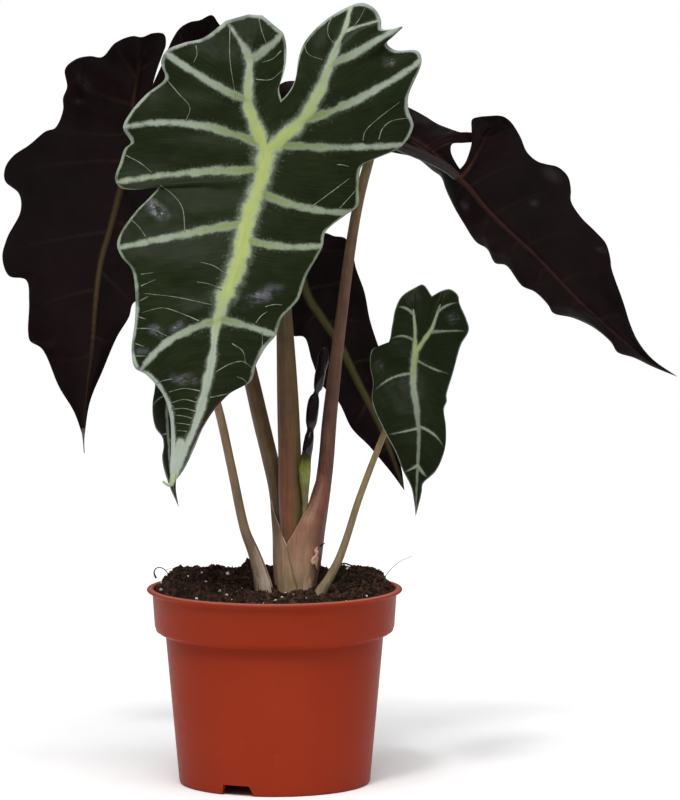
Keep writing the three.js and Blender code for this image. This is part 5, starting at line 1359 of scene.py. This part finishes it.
# The two leaf bases that wrap the crown: each stop is [pixel y, middle x, middle depth in mm,
# half width in pixels, half depth in mm, x of the free edge, where the wrap ends in degrees].
SHEATH_RIGHT = [
    [618, 296, 0, 20.5, 10, 305, 110], [590, 296.5, 0, 19.4, 10.2, 298, 110],
    [575, 298, -0.5, 20.6, 10.4, 293.5, 105], [558, 300.5, -1, 21.2, 10.5, 289.2, 100],
    [545, 301, -1, 22.4, 10.4, 286.6, 95], [534, 305, -1, 19.6, 10.6, 292.6, 90],
    [523, 309, -1, 17, 10.6, 298.5, 85], [514, 312.6, -0.6, 14.6, 9.4, 303.4, 80],
    [505, 316, 0, 12.6, 7.4, 307.6, 75], [489, 320.8, 1.8, 9.2, 4.7, 312.8, 70],
    [474, 324.2, 3.4, 7.8, 3.7, 317.4, 60], [458, 326.5, 4.6, 7.0, 3.3, 320.4, 50],
]
SHEATH_LEFT = [
    [618, 294, 1, 20.5, 10, 306, 110], [590, 294.8, 1, 19.9, 10.4, 303, 110],
    [575, 294, 1.2, 20.4, 10.8, 299, 105], [558, 292.2, 1.6, 19.4, 11, 294.5, 100],
    [548, 290.6, 2, 17.9, 11, 288.6, 98], [540, 288, 2.4, 15.4, 10, 284.6, 96],
    [531, 284.8, 3, 12.5, 8, 281.6, 95], [523, 282.4, 3.8, 10.7, 6, 278.6, 95],
    [510, 279.6, 5.6, 8.9, 4.4, 273.6, 95], [494, 277.2, 6.8, 7.4, 3.4, 271.2, 95],
]
SHEATH_PALE = [
    [626, 270, -5, 10.6, 5.2, 272, 60], [604, 267.6, -5, 10.4, 5.2, 272, 60],
    [588, 264.6, -5.6, 10, 5, 271, 55], [572, 260.8, -6, 8.4, 4.2, 265.5, 50],
    [558, 256.4, -6.5, 6.8, 3.4, 260.6, 45], [546, 252.2, -7, 5.2, 2.7, 255, 40],
]

# Scraps of torn, dry skin on the right leaf base: outlines in pixels.
TORN_SKIN = [
    [[310.5, 561], [312.5, 557], [314.3, 556], [315.5, 552.5], [317.5, 549.5], [318.6, 551], [318, 555],
    [318.8, 559], [317.4, 564], [317.8, 568], [316.8, 571], [315.6, 568], [314.8, 564], [312, 565.5]],
    [[313.4, 553], [315, 548.6], [317.2, 546.4], [318, 547.4], [317, 550], [316, 553.4]],
]


def flake(name, on, outline, material, thickness=0.3):
    """A thin scrap that lies on a piece, with a crumpled face and a rim that lifts off in places."""
    outline = np.asarray(outline, float)
    middle = outline.mean(0)
    rings = [middle + (outline - middle) * share for share in (0.06, 0.5, 1.0)]
    places = np.concatenate([laid_on(on, ring, 0.35) for ring in rings])
    count = len(outline)
    if len(places) != 3 * count:
        raise RuntimeError(f"{name} reaches past the piece that it lies on")
    sight = (places - EYE) / np.linalg.norm(places - EYE, axis=1)[:, None]
    lift = np.array([0.5 + noise.noise(Vector(place) * 0.9) for place in places])
    front = places - sight * (lift * np.repeat((0.5, 1.0, 0.9), count))[:, None]
    faces = [tuple(range(count))]
    for ring in range(2):
        faces += band(ring * count, (ring + 1) * count, count)
    back = front + sight * thickness
    total = len(front)
    faces += [tuple(v + total for v in face[::-1]) for face in faces]
    faces += band(2 * count, 2 * count + total, count)
    made = mesh_object(name, np.vstack([front, back]), faces, [material])
    face_outward(made.data)
    return made


def sheath(name, stops, material, left=False, thickness=0.4, steps=48, around=44):
    """A wrapped leaf base: a thin curved sheet that lies round the crown from its free edge in
    front, by one side, to the back, and thins out at its edges."""
    rows = through(stops, steps)
    pixel_y, middle, depth, width, deep, free, end = rows.T
    start = -np.degrees(np.arccos(np.clip((free - middle) / width, -1, 1)))
    end = np.where(left, -360 + end, end) if left else end
    turn = np.radians(start[:, None] + (end - start)[:, None] * np.linspace(0, 1, around)[None])
    flute = 1 + 0.012 * np.sin(turn * 17)
    across = middle[:, None] + width[:, None] * np.cos(turn) * flute
    pixels = np.stack([across, np.repeat(pixel_y[:, None], around, 1)], -1)
    outer = seen(pixels, depth[:, None] + deep[:, None] * np.sin(turn) * flute)
    centre = seen(np.stack([middle, pixel_y], 1), depth)[:, None]
    inward = centre - outer
    inward /= np.linalg.norm(inward, axis=2)[..., None]
    from_free = np.linspace(0, 1, around)[None] * 4
    from_top = (steps - np.arange(steps + 1))[:, None] / 6
    full = thickness * (0.3 + 0.7 * np.minimum(1, from_free)) * (0.2 + 0.8 * np.minimum(1, from_top))
    inner = outer + inward * full[..., None]
    count = outer.shape[0] * around
    index = np.arange(count).reshape(-1, around)
    quads = np.stack([index[:-1, :-1], index[:-1, 1:], index[1:, 1:], index[1:, :-1]], -1).reshape(-1, 4)
    if left:
        quads = quads[:, ::-1]
    faces = [*quads, *(quads[:, ::-1] + count)]
    border = [*index[0, :], *index[1:, -1], *index[-1, -2::-1], *index[-2:0:-1, 0]]
    for a, b in zip(border, border[1:] + border[:1]):
        faces.append((a, b, b + count, a + count) if left else (b, a, a + count, b + count))
    made = mesh_object(name, np.vstack([outer.reshape(-1, 3), inner.reshape(-1, 3)]), faces, [material])
    gap = np.cumsum(np.linalg.norm(np.diff(outer, axis=1, prepend=outer[:, :1]), axis=2), axis=1).ravel()
    put_attribute(made, "edge", np.concatenate([gap, gap]))
    face_outward(made.data)
    return made


# ------------------------------------------------------------------ settings

def colour_property(name, hex_colour, description):
    return bpy.props.FloatVectorProperty(
        name=name, description=description, subtype="COLOR", size=3, min=0, max=1,
        default=linear(hex_colour))


class AlocasiaLeafSettings(bpy.types.PropertyGroup):
    grid_pixels: bpy.props.FloatProperty(
        name="Grid spacing", description="Spacing of the grid lines along a margin, in pixels",
        default=2.6, min=1)
    grid_rows: bpy.props.IntProperty(
        name="Grid rows", description="Rows of points from the midrib to the margin", default=30, min=8)
    thickness: bpy.props.FloatProperty(
        name="Thickness", description="Thickness of a blade between its ribs", default=0.0006,
        unit="LENGTH")
    unevenness: bpy.props.FloatProperty(
        name="Unevenness", description="How far a blade waves between its veins", default=0.0004,
        unit="LENGTH")
    upper_dark: colour_property("Upper dark", "#151b0e", "Darkest green of the upper face")
    upper_light: colour_property("Upper light", "#262d19", "Lightest green of the upper face")
    vein: colour_property("Vein", "#8b9780", "Grey-green of the drawn veins")
    vein_grey: colour_property("Grey vein", "#a0aa9f", "Cooler grey of the lower veins and the margin")
    vein_green: colour_property("Vein core", "#76854f", "Greener middle of a side vein near its foot")
    vein_glow: colour_property("Vein near stalk", "#9fac68", "Yellow-green of the midrib near the stalk")
    under_dark: colour_property("Under dark", "#0f0807", "Darkest purple-brown of the under face")
    under_light: colour_property("Under light", "#1b0f10", "Lightest purple-brown of the under face")
    under_rib: colour_property("Under rib", "#432822", "Red-brown of the raised ribs")
    under_rib_olive: colour_property("Olive under rib", "#5d5a34", "Olive of the ribs in better light")


class AlocasiaPotSettings(bpy.types.PropertyGroup):
    sides: bpy.props.IntProperty(name="Sides", description="Sides of the turned pot", default=200, min=24)
    colour: colour_property("Plastic", "#95321a", "Terracotta colour of the moulded pot")
    colour_dark: colour_property("Plastic in shade", "#882b16", "Darker patches of the moulded pot")


class AlocasiaSoilSettings(bpy.types.PropertyGroup):
    clod_density: bpy.props.FloatProperty(
        name="Clods", description="Clods to the square metre", default=110000)
    crumb_density: bpy.props.FloatProperty(
        name="Crumbs", description="Crumbs to the square metre", default=620000)
    fibre_density: bpy.props.FloatProperty(
        name="Fibres", description="Root and peat fibres to the square metre", default=14000)
    perlite_density: bpy.props.FloatProperty(
        name="Perlite", description="White perlite grains to the square metre", default=5200)


class AlocasiaStageSettings(bpy.types.PropertyGroup):
    box_power: bpy.props.FloatProperty(name="Soft boxes", description="Strength of the main light",
                                       default=3.5)
    world_strength: bpy.props.FloatProperty(name="Sky", description="Strength of the pale surroundings",
                                            default=0.3)


class AlocasiaSettings(bpy.types.PropertyGroup):
    leaf: bpy.props.PointerProperty(type=AlocasiaLeafSettings)
    pot: bpy.props.PointerProperty(type=AlocasiaPotSettings)
    soil: bpy.props.PointerProperty(type=AlocasiaSoilSettings)
    stage: bpy.props.PointerProperty(type=AlocasiaStageSettings)


# ------------------------------------------------------------------ operators

def settings():
    return bpy.context.scene.alocasia


def settle(made, slot, *nodes):
    """Gives a finished piece its body and hides the CAD nodes it stands for. Its slot is not used."""
    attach(made, "root")
    if nodes:
        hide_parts(*nodes)


class ALOCASIA_OT_pot(bpy.types.Operator):
    """Makes the moulded pot with its foot notches and drain holes."""
    bl_idname = "alocasia.pot"
    bl_label = "Pot"

    def execute(self, context):
        values = settings().pot
        material = pot_material(values)
        pot = lathe("pot_shell", pot_profile(), values.sides, material)
        cutters = []
        for i in range(NOTCH["count"]):
            angle = math.radians(NOTCH["first_angle"] + 360 / NOTCH["count"] * i)
            low, high, tall = NOTCH["width_below"] / 2, NOTCH["width_above"] / 2, NOTCH["height"]
            outline = [(-low, -1), (low, -1), (high - 1.5, tall), (-high, tall)]
            inner, outer = POT["base_radius"] - 8, POT["base_radius"] + 4
            corners = []
            for reach in (inner, outer):
                for across, z in outline:
                    corners.append((reach * math.cos(angle) - across * math.sin(angle),
                                    reach * math.sin(angle) + across * math.cos(angle), z))
            faces = [(0, 1, 2, 3), (7, 6, 5, 4), (0, 4, 5, 1), (1, 5, 6, 2), (2, 6, 7, 3), (3, 7, 4, 0)]
            cutters.append(mesh_object("notch_cutter", corners, [f[::-1] for f in faces], [material],
                                       smooth_faces=False))
        for i in range(DRAIN["count"]):
            angle = 2 * math.pi * i / DRAIN["count"]
            hole = lathe("drain_cutter", [(0, -3), (DRAIN["radius"], -3), (DRAIN["radius"], 16), (0, 16)],
                         28, material)
            out = DRAIN["ring_radius"] * MM
            hole.data.transform(Matrix.Translation((out * math.cos(angle), out * math.sin(angle), 0)))
            cutters.append(hole)
        cut(pot, cutters)
        settle(pot, "pot", "pot")
        return {"FINISHED"}


class ALOCASIA_OT_soil(bpy.types.Operator):
    """Makes the compost mound and strews crumbs, clods, fibres and perlite over it."""
    bl_idname = "alocasia.soil"
    bl_label = "Soil"

    def execute(self, context):
        values = settings().soil
        noise.seed_set(CRUMB_SEED)
        compost = soil_material("moist_peat_compost", "#080403", "#26160f")
        crumb = soil_material("peat_crumb", "#0a0604", "#493022", 0.8)
        # Dry root and peat threads, torn as the peat is milled: paler, matt and stringy.
        thread = soil_material("peat_fibre", "#1e130c", "#806244", 0.6)
        # Perlite, a volcanic glass puffed up by heat: white, matt grains with a rough face.
        perlite = soil_material("expanded_perlite", "#a99c8c", "#f4efe6", 1.6)
        mound = soil_body(compost)
        tree = scatter_tree()
        crumbs = [lump(f"crumb_{i}", i, 0.8, 1 + 0.3 * (i % 3)) for i in range(8)]
        clods = [lump(f"clod_{i}", i + 40, 0.8, 1.15, 0.9, 0.9) for i in range(6)]
        threads = [fibre(f"fibre_{i}", i + 3) for i in range(8)]
        grains = [lump(f"grain_{i}", i + 20, 0.9) for i in range(4)]
        for label, shapes, material, numbers in (
                ("soil_clods", clods, crumb,
                 dict(Density=values.clod_density, Spacing=0.0016, Smallest=0.6, Largest=2.0,
                      Sink=-0.0002, Seed=2)),
                ("soil_crumbs", crumbs, crumb,
                 dict(Density=values.crumb_density, Spacing=0.0005, Smallest=0.35, Largest=1.6, Seed=3)),
                ("soil_fibres", threads, thread,
                 dict(Density=values.fibre_density, Spacing=0.0012, Smallest=0.4, Largest=1.4,
                      Sink=0.0006, Seed=4)),
                ("soil_perlite", grains, perlite,
                 dict(Density=values.perlite_density, Spacing=0.002, Smallest=0.4, Largest=1.9,
                      Sink=0.0006, Seed=11)),
        ):
            group = bpy.data.collections.new(label)
            for shape in shapes:
                group.objects.link(shape)
            carrier = in_scene(f"{label}_carrier", top_of(mound))
            settle(grown(label, carrier, tree, Shapes=group, Material=material, **numbers), "soil")
        settle(mound, "soil", "soil")
        paths = [(*stem_places(stops, 40), 0.0) for stops in STRANDS]
        root = soil_material("dry_root", "#1c1410", "#4a382c", 0.6)
        strands = grown("soil_strands", path_object("strand_paths", paths), stem_tree(), Material=root,
                        Ribs=1, Rib_Depth=0.0, Sides=6, Step=0.001)
        settle(strands, "soil")
        return {"FINISHED"}


def top_of(mound):
    """The upper surface of the compost, pulled in from the pot's wall, as a mesh of its own."""
    bm = bmesh.new()
    bm.from_mesh(mound.data)
    bm.normal_update()
    reach = STREWN_RADIUS * MM
    low = [f for f in bm.faces if f.normal.z < 0.3 or f.calc_center_median().xy.length > reach]
    bmesh.ops.delete(bm, geom=low, context="FACES")
    return mesh_from(bm, "soil_top")


class ALOCASIA_OT_stems(bpy.types.Operator):
    """Makes the six leaf stalks and the rolled young leaf."""
    bl_idname = "alocasia.stems"
    bl_label = "Stalks and young leaf"

    def execute(self, context):
        pale = stem_material("stalk_pale", [(420, "#92795a"), (520, "#857057"), (560, "#8d755e"),
                                            (580, "#a48f7c"), (595, "#b9a896")])
        skins = {
            "stalk_front": stem_material("stalk_olive", [
                (150, "#6a6a44"), (330, "#5a4a2c"), (400, "#5e4429"), (470, "#6a442f"), (520, "#764a30"),
                (545, "#764e32")], beyond=(294.5, "#5d5030", 1.8)),
            "stalk_left": stem_material("stalk_left_skin", [
                (120, "#3a2a22"), (360, "#65533a"), (450, "#735e42"), (520, "#665440")]),
            "stalk_right": stem_material("stalk_red", [
                (146, "#7c7450"), (200, "#7a6649"), (300, "#6b503f"), (370, "#634938"), (420, "#5c4032"),
                (470, "#5f3d33"), (530, "#69463b")], beyond=(381, "#2c2322", 3.5)),
            "stalk_rear": stem_material("stalk_shaded", [(270, "#33281e"), (540, "#4c3a28")]),
            "stalk_small_right": stem_material("stalk_tan", [
                (360, "#6f6443"), (440, "#86744f"), (520, "#7d6b4e"), (575, "#857459"),
                (600, "#94866c")]),
        }
        for name, stops in STALKS.items():
            made = grow_stem(f"{name}_stem", stops, skins.get(name, pale))
            settle(made, "pale_stalk" if "small" in name else "leaf_stalk", name)
        # A leaf that is still rolled up, under fresh wax: nearly black, green at its foot and wet-looking.
        young = stem_material("young_leaf_skin", [
            (340, "#10070b"), (448, "#160a10"), (456, "#3c3a1c"), (463, "#6b702c"), (482, "#6f7834"),
            (492, "#76703f"), (520, "#7c6a4c")], 0.5, 0.35, (0.1, 0.2), (0.35, 1.5))
        settle(grow_stem("young_leaf_roll", ROLLED_LEAF, young, 2, 0.1, 9.0, 160),
               "young_leaf", "young_leaf")
        return {"FINISHED"}


class ALOCASIA_OT_crown(bpy.types.Operator):
    """Makes the crown of sheathing leaf bases."""
    bl_idname = "alocasia.crown"
    bl_label = "Crown"

    def execute(self, context):
        material = stem_material("sheath_skin", [
            (455, "#654035"), (490, "#6b453a"), (512, "#8a6550"), (530, "#956c56"), (556, "#a07c64"),
            (576, "#ae9174"), (598, "#a3865e")], 0.9, 0.22, (0.42, 0.6), (0.7, 1.25),
            (314, "#6e4436", 3.2), "#c4a78c")
        olive = stem_material("sheath_skin_olive", [
            (490, "#5c4c36"), (512, "#665340"), (530, "#856752"), (548, "#9a7b62"), (570, "#af9374"),
            (598, "#a8926a")], 0.9, 0.22, (0.42, 0.6), (0.7, 1.25), None, "#c9ad94")
        cream = stem_material("sheath_skin_pale", [
            (540, "#8d755e"), (556, "#a38d7a"), (580, "#b4a291"), (600, "#a8967e")],
            0.9, 0.22, (0.42, 0.6), (0.75, 1.2), None, "#d5cabd")
        tubes = [grow_stem(f"tube_{i}", stops, material, 9, 0.03)
                 for i, stops in enumerate(CROWN_CORE)]
        bm = bmesh.new()
        for tube in tubes:
            bm.from_mesh(tube.data)
            bpy.data.objects.remove(tube)
        made = in_scene("crown_core", mesh_from(bm, "crown_core"))
        remesh = made.modifiers.new("merged", "REMESH")
        remesh.mode, remesh.voxel_size = "VOXEL", 0.0005
        merged = applied(made)
        made.modifiers.remove(remesh)
        made.data = merged
        merged.materials.clear()
        merged.materials.append(material)
        merged.shade_smooth()
        settle(made, "crown", "crown")
        for name, stops, skin, left in (("sheath_right", SHEATH_RIGHT, material, False),
                                        ("sheath_left", SHEATH_LEFT, olive, True),
                                        ("sheath_pale", SHEATH_PALE, cream, True)):
            made = sheath(name, stops, skin, left)
            if name == "sheath_right":
                # Leaf skin that has split and dried: papery, pale and matt.
                dry = stem_material("torn_skin", [(540, "#c08a72"), (575, "#d8b39c")], 0.8, 0.15,
                                    (0.5, 0.7))
                for i, outline in enumerate(TORN_SKIN):
                    settle(flake(f"torn_skin_{i}", made, outline, dry), "crown")
            settle(made, "crown")
        return {"FINISHED"}


class ALOCASIA_OT_blades(bpy.types.Operator):
    """Makes the six arrow-shaped leaf blades."""
    bl_idname = "alocasia.blades"
    bl_label = "Leaf blades"

    def execute(self, context):
        leaf = settings().leaf
        upper, under = leaf_upper_material(leaf), leaf_under_material(leaf)
        for name, blade in BLADES.items():
            made = make_blade(name, leaf, upper, under)
            # The tips of two blades run out in a thread: one has dried grey, one is still yellow-green.
            if name == "blade_left":
                behind = laid_on(made, [DRY_TIP[0][:2]])[0][1] + 0.3
                stops = [[x, y, depth + behind, radius] for x, y, depth, radius in DRY_TIP]
                settle(grow_stem("dry_tip", stops, stem_material("dry_tip_skin", [
                    (428, "#1d1113"), (440, "#3a2f2c"), (453, "#5a524c")]), 1, 0.0), "leaf_under_face")
            if name == "blade_front":
                thin = lay_veins("thin_veins", made, THIN_VEINS, 0.3, vein_material(leaf))
                settle(thin, "leaf_upper_face")
                behind = laid_on(made, [DRIP_TIP[0][:2]])[0][1] + 0.5
                stops = [[x, y, depth + behind, radius] for x, y, depth, radius in DRIP_TIP]
                settle(grow_stem("drip_tip", stops, stem_material("drip_tip_skin", [
                    (476, "#9aa583"), (484, "#a4a866"), (490, "#8f944a")]), 1, 0.0), "leaf_upper_face")
            settle(made, "leaf_upper_face" if blade["upperFaceToViewer"] else "leaf_under_face", name)
        return {"FINISHED"}


SENSOR_MM = 36
FLOOR_RADIUS, FLOOR_SIDES = 1500, 96

# The lights: a bearing off the viewer's side, a height and a width, all in degrees, and the share
# of the main strength.
LIGHTS = {
    "top_box": (0, 64, 50, 0.78), "top_spark": (-18, 56, 9, 0.24), "back_box": (180, 52, 60, 0.12),
    "left_box": (-55, 25, 44, 0.02), "right_box": (55, 25, 44, 0.02),
}


def soft_light(name, azimuth, elevation, width, power):
    """A broad, distant light."""
    light = bpy.data.lights.new(name, "SUN")
    light.energy, light.angle = power, math.radians(width)
    made = in_scene(name, light)
    made.rotation_euler = (math.radians(90 - elevation), 0, math.radians(azimuth))


class ALOCASIA_OT_stage(bpy.types.Operator):
    """Sets the pale floor, the soft lights and the camera at the photograph's place."""
    bl_idname = "alocasia.stage"
    bl_label = "Stage"

    def execute(self, context):
        values = settings().stage
        scene = context.scene
        scene.view_settings.view_transform = "Standard"
        # Matt paper, pressed without a coat: even and pale, with no gloss.
        paper, tree = new_material("matt_paper")
        finish_material(tree, Base_Color="#f4f4f4", Roughness=0.9)
        turns = [2 * math.pi * i / FLOOR_SIDES for i in range(FLOOR_SIDES)]
        corners = [(FLOOR_RADIUS * math.cos(t), FLOOR_RADIUS * math.sin(t), -0.1) for t in turns]
        floor = mesh_object("floor", corners, [tuple(range(FLOOR_SIDES))], [paper])
        world = bpy.data.worlds.new("pale")
        world.use_nodes = True
        tree = world.node_tree
        tree.nodes.clear()
        facing = node(tree, "SeparateXYZ", [node(tree, "TexCoord")], 1)
        behind = node(tree, "MapRange", [facing, -0.3, 0.9, 0.55, 0.5], **EASED)
        dim = node(tree, "Math", [behind, values.world_strength], **TIMES)
        plain = node(tree, "LightPath")
        strength = node(tree, "Mix", {0: plain, 2: dim, 3: 1.0})
        sky = node(tree, "Background", {"Color": (1, 1, 1, 1), "Strength": strength})
        node(tree, "OutputWorld", {"Surface": sky})
        scene.world = world
        for name, (azimuth, elevation, width, share) in LIGHTS.items():
            soft_light(name, azimuth, elevation, width, values.box_power * share)
        camera = bpy.data.cameras.new("camera")
        camera.sensor_width = SENSOR_MM
        camera.lens = FOCAL_PIXELS * SENSOR_MM / PICTURE_HEIGHT
        camera.clip_end = 50
        made = in_scene("camera", camera)
        made.location = EYE * MM
        made.rotation_euler = (math.pi / 2 - SIGHT_PITCH, 0, 0)
        scene.camera = made
        return {"FINISHED"}


class ALOCASIA_PT_panel(bpy.types.Panel):
    """Lists the steps that make the plant."""
    bl_idname = "ALOCASIA_PT_panel"
    bl_label = "Potted alocasia"
    bl_space_type = "VIEW_3D"
    bl_region_type = "UI"
    bl_category = "Alocasia"

    def draw(self, context):
        for group in ("leaf", "pot", "soil", "stage"):
            box = self.layout.box()
            values = getattr(context.scene.alocasia, group)
            for key in values.__annotations__:
                box.prop(values, key)
        for step in STEPS:
            self.layout.operator(step.bl_idname)


STEPS = (ALOCASIA_OT_stage, ALOCASIA_OT_pot, ALOCASIA_OT_soil, ALOCASIA_OT_crown, ALOCASIA_OT_stems,
         ALOCASIA_OT_blades)
CLASSES = (AlocasiaLeafSettings, AlocasiaPotSettings, AlocasiaSoilSettings, AlocasiaStageSettings,
           AlocasiaSettings, *STEPS, ALOCASIA_PT_panel)


def register():
    for cls in CLASSES:
        bpy.utils.register_class(cls)
    bpy.types.Scene.alocasia = bpy.props.PointerProperty(type=AlocasiaSettings)


def unregister():
    del bpy.types.Scene.alocasia
    for cls in reversed(CLASSES):
        bpy.utils.unregister_class(cls)


def main():
    register()
    bpy.ops.alocasia.stage()
    bpy.ops.alocasia.pot()
    bpy.ops.alocasia.soil()
    bpy.ops.alocasia.crown()
    bpy.ops.alocasia.stems()
    bpy.ops.alocasia.blades()


if __name__ == "__main__":
    main()
